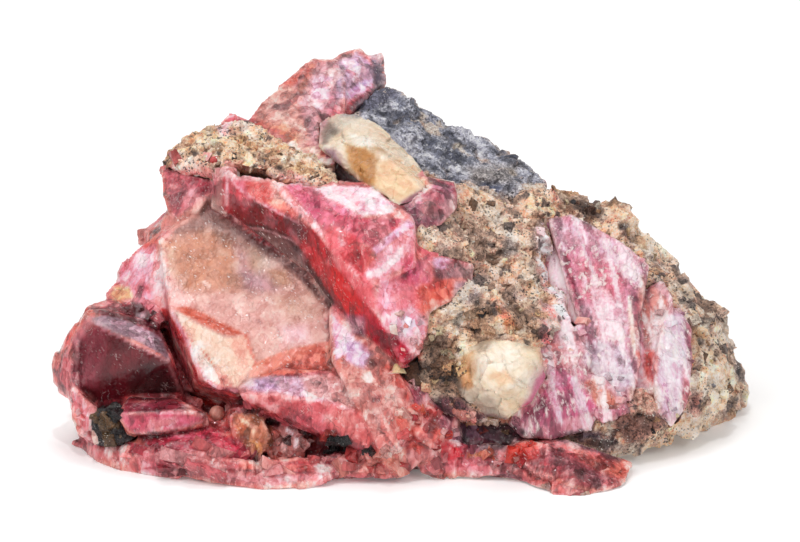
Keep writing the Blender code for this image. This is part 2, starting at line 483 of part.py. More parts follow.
def host_blocks():
    """The speckled host rock: the middle, the right half and the back of the stone."""
    middle = [(44.0, 18.6, 4.6), (47.0, 19.4, 2.6), (53.0, 18.2, -2.6), (55.4, 20.0, -2.4),
              (55.0, 24.0, 2.4), (56.0, 30.0, 5.0), (56.4, 34.0, 7.2), (53.0, 35.0, 10.6),
              (46.6, 26.4, 8.6), (44.4, 23.0, 7.8), (42.8, 31.6, 10.6), (42.3, 34.6, 10.9),
              (43.2, 37.4, 10.4), (46.0, 39.4, 10.4), (45.4, 30.2, 10.6)]
    upper_edge = [(53.0, 16.9, -6.0), (54.6, 17.4, -6.4), (55.8, 19.1, -5.6), (56.2, 20.0, -5.8),
                  (57.6, 20.4, -6.2), (59.3, 20.0, -7.6), (60.4, 20.1, -7.8), (62.6, 21.1, -7.8),
                  (63.6, 22.3, -7.4), (65.0, 26.2, -3.2), (61.0, 23.6, -2.6), (56.6, 21.6, -2.0),
                  (53.4, 19.6, -2.6)]
    right_edge = [(62.6, 21.2, -7.8), (66.3, 24.6, -7.6), (68.6, 27.1, -7.4), (71.1, 30.1, -7.2),
                  (73.2, 32.9, -7.2), (74.3, 35.8, -7.4), (74.9, 38.3, -7.8), (74.9, 39.5, -8.6),
                  (74.2, 40.9, -9.2), (72.0, 42.9, -4.6), (68.6, 44.3, -0.6), (66.0, 45.3, 2.2),
                  (68.0, 42.6, 4.8), (71.4, 40.4, 0.6), (70.0, 36.0, 2.4), (68.4, 31.0, 1.2),
                  (64.6, 26.4, -1.2)]
    lower_right = [(57.0, 42.4, 8.4), (60.2, 40.6, 8.6), (63.0, 40.6, 8.4), (66.4, 41.4, 7.0),
                   (69.0, 41.6, 4.0), (68.6, 44.2, -0.6), (65.2, 45.6, 2.6), (62.9, 46.4, 5.8),
                   (60.0, 45.2, 8.4), (55.0, 44.0, 8.6), (55.0, 42.8, 8.6)]
    front_fill = [(42.0, 36.0, 11.0), (46.0, 37.6, 10.6), (46.6, 40.6, 10.4), (49.4, 42.2, 10.4),
                  (47.0, 43.0, 10.8), (43.4, 40.4, 11.0), (41.4, 38.0, 11.2)]
    beside_blade = [(41.0, 20.6, 9.2), (44.4, 21.6, 8.9), (46.0, 25.4, 9.6), (41.6, 25.8, 11.4),
                    (42.0, 30.4, 12.0), (46.0, 30.6, 11.2), (42.2, 35.0, 12.0), (45.6, 34.4, 11.2)]
    under_honey = [(32.4, 16.6, 5.4), (34.4, 16.2, 5.0), (39.6, 20.6, 8.6), (43.6, 19.8, 6.4),
                   (44.4, 23.0, 6.4), (34.0, 20.0, 6.6)]
    shelf = [(57.2, 38.8, 8.5), (59.4, 37.8, 8.3), (61.4, 40.0, 9.1), (64.2, 38.6, 8.3),
             (66.0, 40.0, 7.6), (66.4, 42.0, 7.3), (61.0, 42.6, 9.1), (58.4, 41.6, 9.1)]
    between_panels = [(62.6, 26.0, 0.8), (65.6, 27.4, 1.8), (67.6, 30.6, 2.6), (69.4, 35.0, 4.0),
                      (68.8, 40.6, 5.4), (66.0, 39.4, 6.2), (64.0, 33.0, 4.0)]
    back = [(30.0, 12.6, -14.0), (40.0, 13.0, -14.6), (50.0, 17.0, -14.4), (58.0, 21.0, -15.6),
            (66.0, 27.6, -15.2), (71.0, 34.4, -14.2), (72.6, 38.0, -12.8), (68.0, 38.6, -15.6),
            (60.0, 37.4, -18.6), (46.0, 35.6, -20.6), (30.0, 35.6, -20.0), (24.0, 34.0, -18.6),
            (24.0, 26.0, -19.0), (34.0, 20.0, -19.6), (50.0, 26.0, -19.4), (62.0, 32.0, -17.0),
            (70.0, 42.0, -4.0), (66.0, 44.8, 0.0), (50.0, 44.0, 3.0), (30.0, 44.0, 3.0),
            (34.0, 12.0, -6.0), (54.0, 20.0, -5.0), (68.0, 30.0, -6.0), (44.0, 20.0, 0.0)]
    back_rib = [behind(-12.0, 16.0, 0.0), behind(-10.0, 20.6, 0.0), behind(9.0, 21.6, 0.0),
                behind(15.0, 17.0, 0.0), behind(-4.0, 20.2, 9.0), behind(6.0, 19.0, 14.0),
                behind(3.0, 13.0, 23.0), behind(12.0, 14.0, 14.0), behind(-6.0, 16.0, 16.0)]
    back_foot = [behind(14.0, 12.0, 0.0), behind(18.0, 18.6, 0.0), behind(27.0, 14.8, 0.0),
                 behind(31.0, 8.0, 0.0), behind(20.0, 15.4, 8.0), behind(27.0, 9.6, 9.4),
                 behind(22.0, 8.0, 12.0)]
    return [rooted(middle, 8.0), rooted(upper_edge, 6.0, 0.7, -1.0, 3.0),
            rooted(right_edge, 5.0, 0.8, -3.0, 1.0), rooted(lower_right, 7.0, 0.95),
            rooted(front_fill, 6.0), rooted(beside_blade, 7.0), rooted(under_honey, 6.0),
            rooted(shelf, 6.0), rooted(between_panels, 6.0), back, back_rib, back_foot]


def base_hollows():
    """Shallow hollows of the underside, which leave the stone its bearing patches."""
    wide = [behind(-13.0, -9.0, 1.1), behind(-3.0, -12.0, 1.0), behind(4.0, -5.0, 1.3),
            behind(-2.0, 2.0, 1.2), behind(-12.0, 0.0, 1.0), behind(-15.0, -11.0, -1.0),
            behind(-2.0, -14.0, -1.0), behind(7.0, -5.0, -1.0), behind(-2.0, 4.0, -1.0),
            behind(-14.0, 2.0, -1.0)]
    right_arch = [behind(16.0, -12.0, 1.2), behind(24.0, -10.0, 1.8), behind(33.0, -3.0, 2.2),
                  behind(20.0, -4.0, 1.0), behind(13.0, -14.0, -1.0), behind(26.0, -16.0, -1.0),
                  behind(38.0, -4.0, -1.0), behind(20.0, -1.0, -1.0)]
    back_arch = [behind(-10.0, 15.0, 0.9), behind(-2.0, 13.0, 1.0), behind(3.0, 22.0, 1.9),
                 behind(-9.0, 24.0, 1.9), behind(-12.0, 14.0, -1.0), behind(-2.0, 10.0, -1.0),
                 behind(6.0, 24.0, -1.0), behind(-11.0, 26.0, -1.0)]
    left_arch = [behind(-30.0, -2.0, 1.3), behind(-22.0, 0.0, 0.8), behind(-24.0, 8.0, 1.6),
                 behind(-34.0, 4.0, 1.8), behind(-34.0, -6.0, -1.0), behind(-19.0, -1.0, -1.0),
                 behind(-22.0, 12.0, -1.0), behind(-38.0, 6.0, -1.0)]
    return [wide, right_arch, back_arch, left_arch]


def black_blocks():
    """The cluster of small black crystals in the notch at the lower left."""
    left = [(9.6, 41.4, 6.4), (10.4, 40.8, 6.6), (11.2, 41.8, 7.2), (11.0, 43.6, 7.4),
            (9.9, 44.1, 6.4), (9.5, 42.8, 6.2)]
    top = [(11.0, 40.9, 6.8), (11.7, 40.4, 6.6), (12.4, 41.0, 7.0), (12.3, 42.2, 7.6),
           (11.4, 42.6, 7.4)]
    right = [(11.2, 42.8, 7.6), (12.4, 42.4, 7.4), (13.9, 43.4, 7.4), (12.8, 43.9, 7.8),
             (11.4, 44.0, 7.4)]
    foot = [(9.7, 43.6, 6.6), (11.4, 43.2, 7.2), (12.6, 43.4, 7.4), (12.4, 44.2, 7.0),
            (10.0, 44.3, 6.4)]
    return [rooted(left, 3.0), rooted(top, 3.0), rooted(right, 3.0), rooted(foot, 3.0)]


def build():
    for obj in list(bpy.data.objects):
        bpy.data.objects.remove(obj)

    honey = honey_blocks()
    cream = cream_blocks()
    black = black_blocks()
    blade = blade_blocks()
    band = band_blocks()
    front = (slab_blocks() + blade + mauve_blocks() + ledge_blocks() + wine_blocks() + prism_blocks()
             + lower_edge_blocks() + foot_blocks() + upper_left_blocks())
    mass = mass_blocks()
    panel = panel_blocks()
    cap = cap_blocks()

    honey_quartz = fused("honey_quartz", honey)
    cream_quartz = fused("cream_quartz", cream)
    black_crystals = fused("black_crystals", black)

    speckled_band = fused("speckled_band", band)
    roughen(speckled_band, 0.7, 0.2, [(0.5, 1.6), (0.35, 3.4)], 0.3)
    cut_by(speckled_band, honey + blade)

    crystals = fused("rhodonite_crystals", front)
    rough_mass = fused("mass", mass)
    roughen(rough_mass, 1.3, 0.11, [(0.9, 6.0), (0.6, 2.6)], 0.7)
    combine(rough_mass, [hull(mass_side())], "INTERSECT")
    combine(crystals, [rough_mass], "UNION")
    cut_by(crystals, honey + cream + black + band)

    fibrous = fused("rhodonite_panel", panel)
    cut_by(fibrous, cream + front)

    grey_cap = fused("grey_cap", cap)
    roughen(grey_cap, 0.8, 0.15, [(0.8, 2.4), (0.5, 5.0)], 0.3)
    cut_by(grey_cap, honey + band + front + mass)

    host_rock = fused("host_rock", host_blocks())
    roughen(host_rock, 1.1, 0.16, [(1.0, 5.0), (0.7, 2.2)])
    cut_by(host_rock, honey + cream + band + front + panel + cap + [mass_side()])

    looks = ((honey_quartz, (0.74, 0.50, 0.22), 0.25), (cream_quartz, (0.86, 0.78, 0.62), 0.4),
             (black_crystals, (0.03, 0.03, 0.03), 0.3), (speckled_band, (0.58, 0.46, 0.34), 0.8),
             (crystals, (0.72, 0.20, 0.20), 0.3), (fibrous, (0.78, 0.38, 0.46), 0.35),
             (grey_cap, (0.16, 0.16, 0.18), 0.5), (host_rock, (0.55, 0.47, 0.37), 0.8))
    for solid, colour, roughness in looks:
        flatten_base(solid)
        if solid in (crystals, host_rock):
            combine(solid, [hull(corners) for corners in base_hollows()], "DIFFERENCE")
        finish(solid, colour, roughness)


build()
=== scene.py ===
"""The looks of a rough rhodonite specimen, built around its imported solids.

Each mineral gets a skin: a finely meshed copy of its solid, broken into grains, facets and steps,
and painted point by point. Places are given as on the life-size front drawing that the solids were
made from: across from the drawing's left edge, down from its top edge and out towards the viewer,
in millimetres.
"""
import itertools
import math

import bpy
import numpy as np
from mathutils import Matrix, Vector


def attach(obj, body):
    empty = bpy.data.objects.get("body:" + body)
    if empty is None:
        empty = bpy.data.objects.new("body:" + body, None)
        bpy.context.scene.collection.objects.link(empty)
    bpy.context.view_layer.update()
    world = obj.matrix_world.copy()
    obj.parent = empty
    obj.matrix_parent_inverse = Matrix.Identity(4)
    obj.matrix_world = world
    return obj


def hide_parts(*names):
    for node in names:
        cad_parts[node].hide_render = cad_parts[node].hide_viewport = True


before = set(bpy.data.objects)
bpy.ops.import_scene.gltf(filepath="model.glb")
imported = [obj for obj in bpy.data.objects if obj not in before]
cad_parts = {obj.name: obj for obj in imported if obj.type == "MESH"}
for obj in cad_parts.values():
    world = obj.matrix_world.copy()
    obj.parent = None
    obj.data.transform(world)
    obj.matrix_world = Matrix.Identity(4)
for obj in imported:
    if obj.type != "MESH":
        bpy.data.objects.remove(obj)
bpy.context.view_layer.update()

MM = 0.001
TILT = math.radians(20.0)      # how far the front drawing looks down on the stone
CENTRE_ACROSS = 40.12          # the drawing's place of the stone's own middle
CENTRE_DOWN = 27.1
CENTRE_BACK = 0.46
CENTRE_HEIGHT = 16.2
DRAWING_WIDE = 80.0
DRAWING_TALL = 56.0            # with a little room below the stone
FAR = 99.0                     # further than anything on the drawing
TOWARD = np.array((0.0, -math.cos(TILT), math.sin(TILT)))     # the way from the stone to the viewer

GROWTH = 0.3                   # each skin stands this far out, so that neighbours meet
DIVIDE = (40.0, 26.0, -3.5)    # a point of the plane between the big solids' fine and coarse skins
DIVIDE_LEAN = math.atan(0.5)   # how far that plane leans back, beyond the drawing's own tilt
HALF_BLOCK = 0.1               # half the side, in metres, of the blocks that cut along it

# Random numbers for all noise, from one seed, and a turn that hides their lattice
SIDE = 48
LUCK = np.random.default_rng(41).random((SIDE, SIDE, SIDE, 3)).astype(np.float32)
TURN = np.array(Vector((0.36, 0.48, 0.80)).to_track_quat("Z", "Y").to_matrix()).T


def place(across, down, out):
    """The place in space, in metres, of a point of the front drawing."""
    up = CENTRE_DOWN - down
    return Vector((across - CENTRE_ACROSS,
                   up * math.sin(TILT) - out * math.cos(TILT) - CENTRE_BACK,
                   up * math.cos(TILT) + out * math.sin(TILT) + CENTRE_HEIGHT)) * MM


def drawing_figures(spots):
    """Across, down and out of many places in space given in millimetres."""
    back = spots[:, 1] + CENTRE_BACK
    height = spots[:, 2] - CENTRE_HEIGHT
    up = back * math.sin(TILT) + height * math.cos(TILT)
    out = height * math.sin(TILT) - back * math.cos(TILT)
    return spots[:, 0] + CENTRE_ACROSS, CENTRE_DOWN - up, out


def cloud(spots, size, seed=0):
    """Smooth noise from -1 to 1 with lumps of that size in millimetres."""
    spots = spots @ TURN / size + seed * 7.31
    corner = np.floor(spots).astype(int)
    part = spots - corner
    part = part * part * (3.0 - 2.0 * part)
    total = np.zeros(len(spots))
    for step in itertools.product((0, 1), repeat=3):
        weight = np.prod(np.where(np.array(step) == 1, part, 1.0 - part), axis=1)
        a, b, c = ((corner + step) % SIDE).T
        total += weight * LUCK[a, b, c, seed % 3]
    return total * 2.0 - 1.0


def clouds(spots, size, octaves, seed=0):
    """Noise from about -1 to 1 with finer noise on it, each octave half as large and strong."""
    total = np.zeros(len(spots))
    for octave in range(octaves):
        total += cloud(spots, size / 2 ** octave, seed + octave * 3) / 2 ** octave
    return total / 1.5


def facets(spots, size, seed=0):
    """A surface broken into tilted facets of that size: at each place the height, as part of size,
    and three random numbers of its facet's own."""
    spots = spots @ TURN / size + seed * 5.17
    home = np.floor(spots).astype(int)
    near = np.full(len(spots), FAR)
    offset = np.zeros((len(spots), 3))
    luck = np.zeros((len(spots), 3))
    for step in itertools.product((-1, 0, 1), repeat=3):
        cell = home + step
        a, b, c = (cell % SIDE).T
        away = spots - cell - LUCK[a, b, c]
        distance = (away ** 2).sum(axis=1)
        nearer = distance < near
        near = np.where(nearer, distance, near)
        offset[nearer] = away[nearer]
        luck[nearer] = LUCK[b, c, a][nearer]
    return (offset * (luck - 0.5)).sum(axis=1), luck


def ramp(value, start, end):
    """0 below start, 1 past end, and smooth between them."""
    part = np.clip((value - start) / (end - start), 0.0, 1.0)
    return part * part * (3.0 - 2.0 * part)


def inside(across, down, outline):
    """How far each point is inside an outline, in millimetres, below zero outside it."""
    nearest = np.full(len(across), FAR)
    within = np.zeros(len(across), bool)
    for (a0, d0), (a1, d1) in zip(outline, outline[1:] + outline[:1]):
        wide, tall = a1 - a0, d1 - d0
        along = np.clip(((across - a0) * wide + (down - d0) * tall) / (wide ** 2 + tall ** 2), 0, 1)
        nearest = np.minimum(nearest, np.hypot(across - a0 - along * wide, down - d0 - along * tall))
        if tall:
            within ^= ((d0 > down) != (d1 > down)) & (across < wide * (down - d0) / tall + a0)
    return np.where(within, nearest, -nearest)


def beside(across, down, line):
    """How far each point is from a line through points of the drawing."""
    nearest = np.full(len(across), FAR)
    for (a0, d0), (a1, d1) in zip(line, line[1:]):
        wide, tall = a1 - a0, d1 - d0
        along = np.clip(((across - a0) * wide + (down - d0) * tall) / (wide ** 2 + tall ** 2), 0, 1)
        nearest = np.minimum(nearest, np.hypot(across - a0 - along * wide, down - d0 - along * tall))
    return nearest


def select_only(obj):
    bpy.ops.object.select_all(action="DESELECT")
    obj.select_set(True)
    bpy.context.view_layer.objects.active = obj


def apply_modifiers(obj):
    select_only(obj)
    for modifier in list(obj.modifiers):
        bpy.ops.object.modifier_apply(modifier=modifier.name)


def half_space(side):
    """A block that holds all that lies before (side 1) or behind (side -1) the dividing plane, which
    runs some 5 mm behind the stone's front and leans back with it."""
    lean = TILT + DIVIDE_LEAN
    way = Vector((0.0, -math.cos(lean), math.sin(lean))) * side
    bpy.ops.object.select_all(action="DESELECT")
    bpy.ops.mesh.primitive_cube_add(size=2 * HALF_BLOCK, location=place(*DIVIDE) + way * HALF_BLOCK,
                                    rotation=way.to_track_quat("Z", "Y").to_euler())
    return bpy.context.object


class Skin:
    """A finely meshed copy of a mineral's solid, or of its part before or behind the dividing plane.
    Figures and tints are kept for each of its points."""

    def __init__(self, node, name, cell, side=0, growth=GROWTH):
        self.node = node
        obj = bpy.data.objects.new(name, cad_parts[node].data.copy())
        bpy.context.scene.collection.objects.link(obj)
        select_only(obj)
        bpy.ops.object.mode_set(mode="EDIT")
        bpy.ops.mesh.select_all(action="SELECT")
        bpy.ops.mesh.remove_doubles(threshold=0.000001)
        bpy.ops.object.mode_set(mode="OBJECT")
        if side:
            block = half_space(side)
            cut = obj.modifiers.new("half", "BOOLEAN")
            cut.operation = "INTERSECT"
            cut.solver = "MANIFOLD"
            cut.object = block
            apply_modifiers(obj)
            bpy.data.objects.remove(block)
        grow = obj.modifiers.new("grow", "DISPLACE")
        grow.strength = growth * MM
        grow.mid_level = 0.0
        remesh = obj.modifiers.new("cells", "REMESH")
        remesh.mode = "VOXEL"
        remesh.voxel_size = cell * MM
        remesh.use_smooth_shade = True
        apply_modifiers(obj)
        obj.data.materials.clear()
        for attribute in list(obj.data.color_attributes):
            obj.data.color_attributes.remove(attribute)
        self.obj = obj
        self.count = len(obj.data.vertices)
        edges = np.zeros(len(obj.data.edges) * 2, np.int32)
        obj.data.edges.foreach_get("vertices", edges)
        self.edges = edges.reshape(-1, 2)
        self.valence = np.bincount(edges, minlength=self.count)
        self.spots = self.read("co") / MM
        self.update()

    def read(self, what):
        values = np.zeros(self.count * 3, np.float32)
        if what == "co":
            self.obj.data.vertices.foreach_get("co", values)
        else:
            self.obj.data.vertex_normals.foreach_get("vector", values)
        return values.reshape(-1, 3).astype(float)

    def update(self):
        """Puts the points back in the mesh and works out what follows from their places."""
        self.spots[:, 2] = np.maximum(self.spots[:, 2], 0.0)
        self.obj.data.vertices.foreach_set("co", (self.spots * MM).astype(np.float32).ravel())
        self.obj.data.update()
        self.normals = self.read("normal")
        self.across, self.down, self.out = drawing_figures(self.spots)
        self.facing = self.normals @ TOWARD

    def smooth(self, values, rounds):
        """Values of the points, averaged with their neighbours' that many times."""
        start, end = self.edges.T
        for _ in range(rounds):
            sums = [np.bincount(start, column[end], self.count) + np.bincount(end, column[start], self.count)
                    for column in values.reshape(self.count, -1).T]
            values = (values + (np.array(sums).T / self.valence[:, None]).reshape(values.shape)) / 2.0
        return values

    def hollow(self, rounds):
        """How hollow the surface is at each point, below zero on ridges."""
        return ((self.smooth(self.spots, rounds) - self.spots) * self.normals).sum(axis=1)

    def move(self, height):
        """Moves each point out along the surface's own direction."""
        way = self.smooth(self.normals, 2)
        way /= np.linalg.norm(way, axis=1)[:, None]
        self.spots += way * np.asarray(height)[:, None]
        self.update()

    def drift(self, tints, weight):
        """Moves the points' tints towards other tints."""
        self.tint += (tints - self.tint) * weight[:, None]

    def blend(self, colour, weight):
        """Mixes one colour, in 8-bit figures, into the tint."""
        self.drift(np.array(colour) / 255.0, weight)


def zone(colour, outline, strength=0.9, soft=0.25):
    """A patch of colour on the front: an outline on the drawing and how soft its edge is."""
    return colour, outline, strength, soft, None


def line(colour, points, width=0.3, strength=0.8):
    """A line of colour on the front, through points of the drawing."""
    return colour, points, strength, width, "line"


# The front's patches, mineral by mineral, painted in this order: colours as seen from the front, with the
# light and shade that fall there painted in
SLAB = [
    zone((200, 150, 138), [(21.3, 19.7), (25.5, 21.6), (29.6, 24.0), (31.7, 27.2), (33.4, 31.0), (33.4, 34.2),
                           (30.0, 35.2), (27.0, 37.4), (23.8, 38.9), (20.3, 37.6), (17.4, 31.4),
                           (16.2, 24.2)]),
    zone((150, 112, 106), [(21.3, 19.7), (25.5, 21.6), (29.6, 24.0), (31.6, 27.0), (29.0, 27.4), (24.0, 25.0),
                           (19.4, 24.0), (17.6, 23.0)], 0.85, 1.2),
    zone((196, 134, 106), [(16.2, 24.4), (21.0, 22.8), (25.0, 25.0), (24.0, 28.8), (19.0, 29.6),
                           (16.6, 28.4)], 0.8, 0.9),
    zone((170, 142, 116), [(24.6, 25.0), (25.6, 24.8), (26.8, 26.0), (26.0, 27.8), (25.0, 27.0)], 0.5, 0.6),
    zone((190, 138, 108), [(26.8, 27.0), (28.6, 27.0), (29.2, 28.6), (27.4, 28.6)], 0.7, 0.4),
    zone((176, 128, 152), [(23.6, 24.6), (24.8, 25.4), (25.0, 27.6), (23.8, 27.2)], 0.45, 0.8),
    zone((172, 122, 150), [(24.2, 27.2), (26.4, 27.4), (28.0, 29.2), (26.2, 29.2), (24.6, 28.8)], 0.45, 0.8),
    # painted shadow: the slab darkened under the blade's overhanging lower edge
    zone((112, 74, 74), [(23.0, 21.8), (26.6, 22.4), (28.8, 23.4), (30.2, 25.4), (31.6, 28.0), (32.6, 30.2),
                         (31.4, 29.4), (29.4, 27.2), (26.8, 25.2), (24.2, 23.6)], 0.92, 0.35),
    zone((224, 172, 164), [(20.5, 29.2), (25.0, 29.6), (30.0, 28.6), (33.2, 31.0), (33.4, 34.2), (30.0, 35.2),
                           (27.0, 37.4), (26.0, 34.4), (22.4, 33.4), (17.6, 31.2), (16.8, 29.2)], 0.85, 0.7),
    zone((238, 198, 206), [(28.0, 32.6), (30.6, 32.4), (31.0, 34.0), (28.4, 34.4)], 0.8, 0.7),
    zone((206, 160, 138), [(27.0, 29.6), (31.0, 29.0), (32.6, 31.6), (29.0, 32.0)], 0.5, 0.9),
    zone((238, 190, 186), [(14.8, 26.2), (16.2, 25.0), (17.2, 27.4), (19.4, 30.4), (18.0, 31.2),
                           (15.0, 29.6)], 0.8, 0.45),
    zone((226, 152, 148), [(15.2, 29.2), (17.4, 29.8), (18.2, 31.2), (16.8, 31.6), (15.0, 30.4)], 0.8, 0.3),
    zone((206, 96, 74), [(17.6, 30.8), (18.8, 30.6), (21.5, 31.8), (24.6, 33.4), (22.8, 33.5), (20.5, 32.5),
                         (19.0, 31.6)], 0.95, 0.15),
    zone((238, 208, 190), [(17.7, 31.2), (19.0, 31.9), (22.6, 33.7), (24.7, 33.6), (25.4, 35.0), (25.6, 36.3),
                           (23.9, 38.7), (22.2, 38.8), (20.2, 37.2), (18.9, 34.4)], 0.95, 0.15),
    zone((216, 192, 168), [(19.8, 34.2), (21.4, 34.8), (21.8, 37.2), (20.6, 37.0)], 0.55, 0.6),
    zone((238, 176, 158), [(23.0, 33.8), (24.7, 33.7), (25.6, 36.2), (24.2, 38.2), (23.8, 36.0)], 0.6, 0.6),
    line((196, 96, 72), [(20.2, 34.8), (21.6, 36.6)], 0.12, 0.8),
    line((214, 110, 96), [(24.7, 33.5), (25.1, 35.0), (25.7, 36.2)], 0.16, 0.8),
    line((170, 96, 96), [(24.8, 31.4), (26.2, 32.2), (26.6, 33.0)], 0.12, 0.5),
    zone((196, 70, 70), [(14.4, 29.6), (16.2, 30.6), (17.8, 31.6), (19.0, 34.4), (20.2, 37.0), (22.2, 39.2),
                         (23.8, 39.4), (23.6, 40.2), (20.4, 40.8), (19.0, 39.0), (17.8, 37.0), (16.8, 34.0),
                         (15.6, 32.4)], 0.95, 0.2),
    zone((140, 44, 50), [(15.4, 31.6), (17.0, 31.8), (18.6, 35.0), (19.6, 37.4), (18.6, 38.2), (17.2, 35.0),
                         (16.2, 33.0)], 0.8, 0.4),
    zone((216, 66, 56), [(19.8, 38.2), (21.4, 39.0), (23.8, 39.5), (23.0, 40.4), (20.4, 40.8), (19.4, 39.6)],
         0.9, 0.3),
    line((230, 176, 188), [(17.3, 31.2), (18.6, 33.6), (19.9, 36.6), (21.4, 38.6), (23.8, 39.1)], 0.22, 0.8),
    zone((218, 134, 142), [(13.4, 29.8), (15.2, 29.0), (16.0, 31.0), (15.4, 32.8), (14.4, 32.0)], 0.9, 0.25),
    zone((110, 46, 56), [(14.2, 31.4), (15.4, 31.4), (16.0, 33.0), (14.8, 32.8)], 0.6, 0.3),
]

BLADE = [
    zone((170, 38, 48), [(21.6, 16.6), (23.6, 18.0), (26.2, 20.0), (30.0, 22.2), (31.8, 23.2), (34.5, 27.5),
                         (36.5, 30.0), (38.0, 32.0), (40.4, 35.8), (41.5, 36.5), (40.0, 36.6), (37.8, 34.5),
                         (35.5, 32.2), (33.5, 30.5), (32.2, 28.5), (31.4, 27.2), (29.6, 24.2), (26.8, 23.0),
                         (24.6, 22.8), (22.2, 20.8)], 0.95, 0.2),
    zone((112, 18, 32), [(23.0, 19.6), (26.4, 20.4), (30.4, 22.6), (31.4, 24.6), (29.6, 24.0), (26.2, 22.9),
                         (23.4, 22.4)], 0.85, 0.4),
    # painted shadow: a dark line along the red band's lower edge, where it overhangs the slab
    line((62, 14, 20), [(24.4, 22.6), (26.8, 22.9), (29.0, 23.9), (30.4, 25.6), (31.8, 28.0), (33.2, 30.2)],
         0.32, 0.8),
    zone((206, 30, 36), [(33.0, 26.4), (34.8, 27.6), (36.4, 30.0), (36.2, 31.8), (34.4, 31.0), (32.6, 28.6)],
         0.85, 0.5),
    zone((196, 52, 56), [(29.6, 23.6), (31.4, 24.0), (33.0, 26.6), (32.4, 28.2), (30.8, 26.0)], 0.6, 0.5),
    zone((216, 140, 138), [(23.9, 19.6), (24.9, 19.4), (25.2, 20.6), (24.4, 21.0)], 0.6, 0.4),
    zone((180, 122, 118), [(21.6, 16.8), (22.4, 17.2), (22.4, 20.8), (21.8, 20.8)], 0.9, 0.2),
    zone((218, 166, 166), [(22.6, 17.2), (23.0, 17.6), (22.9, 20.6), (22.5, 20.6)], 0.85, 0.15),
    zone((150, 66, 70), [(23.0, 17.6), (23.7, 18.4), (23.6, 21.0), (23.0, 20.8)], 0.8, 0.2),
    zone((214, 116, 126), [(22.6, 16.0), (25.0, 17.0), (27.2, 17.6), (26.2, 18.5), (25.0, 20.0), (24.0, 19.0),
                           (22.8, 17.2)], 0.95, 0.2),
    zone((218, 106, 98), [(24.5, 18.2), (26.2, 17.8), (27.8, 18.2), (27.6, 19.8), (26.2, 20.3), (25.0, 19.6)],
         0.95, 0.25),
    zone((220, 120, 140), [(27.5, 17.6), (30.0, 17.6), (31.8, 19.0), (34.5, 20.5), (36.4, 21.7), (34.0, 22.5),
                           (32.6, 23.2), (31.2, 21.8), (29.6, 20.0)], 0.9, 0.25),
    zone((176, 64, 96), [(30.2, 19.4), (31.8, 19.8), (32.4, 21.4), (31.4, 21.6), (30.4, 20.4)], 0.5, 0.4),
    line((244, 204, 202), [(27.4, 17.9), (29.0, 20.0), (30.6, 21.6), (32.2, 23.3)], 0.4, 0.85),
    # painted reflection: the blade's upward top face, white with the light's sheen
    zone((255, 240, 240), [(31.2, 18.9), (33.6, 18.5), (37.6, 18.8), (39.8, 20.9), (39.0, 21.5), (36.4, 21.6),
                           (34.0, 20.4)], 0.95, 0.15),
    zone((214, 120, 140), [(35.6, 20.2), (36.8, 20.0), (36.6, 21.2), (35.8, 21.2)], 0.4, 0.4),
    zone((234, 150, 142), [(39.7, 20.6), (41.6, 22.2), (38.6, 21.7), (39.2, 21.4)], 0.95, 0.15),
    zone((192, 84, 100), [(33.8, 21.3), (36.4, 21.8), (40.2, 22.0), (37.4, 24.9), (35.2, 24.0), (33.6, 22.8)],
         0.9, 0.25),
    zone((214, 162, 180), [(37.2, 24.8), (40.8, 22.0), (41.6, 22.4), (38.8, 24.6), (37.6, 25.6)], 0.9, 0.15),
    zone((236, 178, 184), [(38.8, 24.6), (41.6, 22.6), (41.6, 25.2), (40.0, 27.0), (38.0, 27.9), (36.4, 27.9),
                           (36.6, 26.8)], 0.9, 0.2),
    zone((250, 232, 228), [(36.4, 27.3), (38.0, 26.8), (39.2, 25.8), (40.4, 24.0), (40.2, 25.6), (38.0, 27.7),
                           (36.5, 27.9)], 0.85, 0.2),
    zone((218, 92, 98), [(33.0, 22.6), (34.8, 23.0), (37.2, 25.0), (36.6, 27.0), (37.4, 29.0), (37.6, 31.0),
                         (36.0, 29.8), (34.6, 27.8), (32.8, 24.8), (32.4, 23.3)], 0.9, 0.25),
    line((240, 206, 204), [(33.9, 23.0), (34.3, 24.4)], 0.3, 0.7),
    zone((234, 146, 156), [(38.0, 27.8), (41.6, 27.0), (43.2, 29.0), (42.0, 31.6), (39.0, 32.6),
                           (37.6, 30.6)], 0.9, 0.35),
    zone((242, 190, 200), [(38.4, 28.2), (39.6, 28.2), (39.6, 30.6), (38.6, 30.4)], 0.7, 0.5),
    zone((206, 70, 100), [(40.6, 25.6), (41.6, 25.2), (41.2, 28.0), (40.2, 28.4)], 0.6, 0.3),
    zone((224, 96, 90), [(41.6, 29.0), (43.4, 28.4), (43.8, 29.8), (42.4, 31.4), (41.4, 30.6)], 0.75, 0.4),
    zone((230, 152, 160), [(38.0, 32.4), (41.2, 31.0), (42.2, 31.8), (42.6, 33.6), (42.2, 35.0), (41.0, 35.3),
                           (40.0, 34.2)], 0.9, 0.2),
    zone((248, 222, 222), [(38.4, 31.4), (41.0, 30.8), (42.2, 31.8), (42.6, 33.6), (42.2, 35.0), (41.0, 35.3),
                           (39.8, 33.6)], 0.8, 0.3),
    zone((255, 248, 248), [(40.0, 32.0), (41.4, 31.6), (41.2, 33.4), (40.2, 33.2)], 0.8, 0.3),
    zone((240, 190, 184), [(40.6, 34.0), (42.2, 33.4), (42.4, 34.8), (41.2, 35.3)], 0.8, 0.25),
    zone((168, 18, 42), [(37.0, 31.6), (38.4, 32.8), (40.4, 34.4), (41.6, 35.6), (40.4, 36.4), (38.6, 35.6),
                         (37.2, 34.0)], 0.9, 0.25),
]

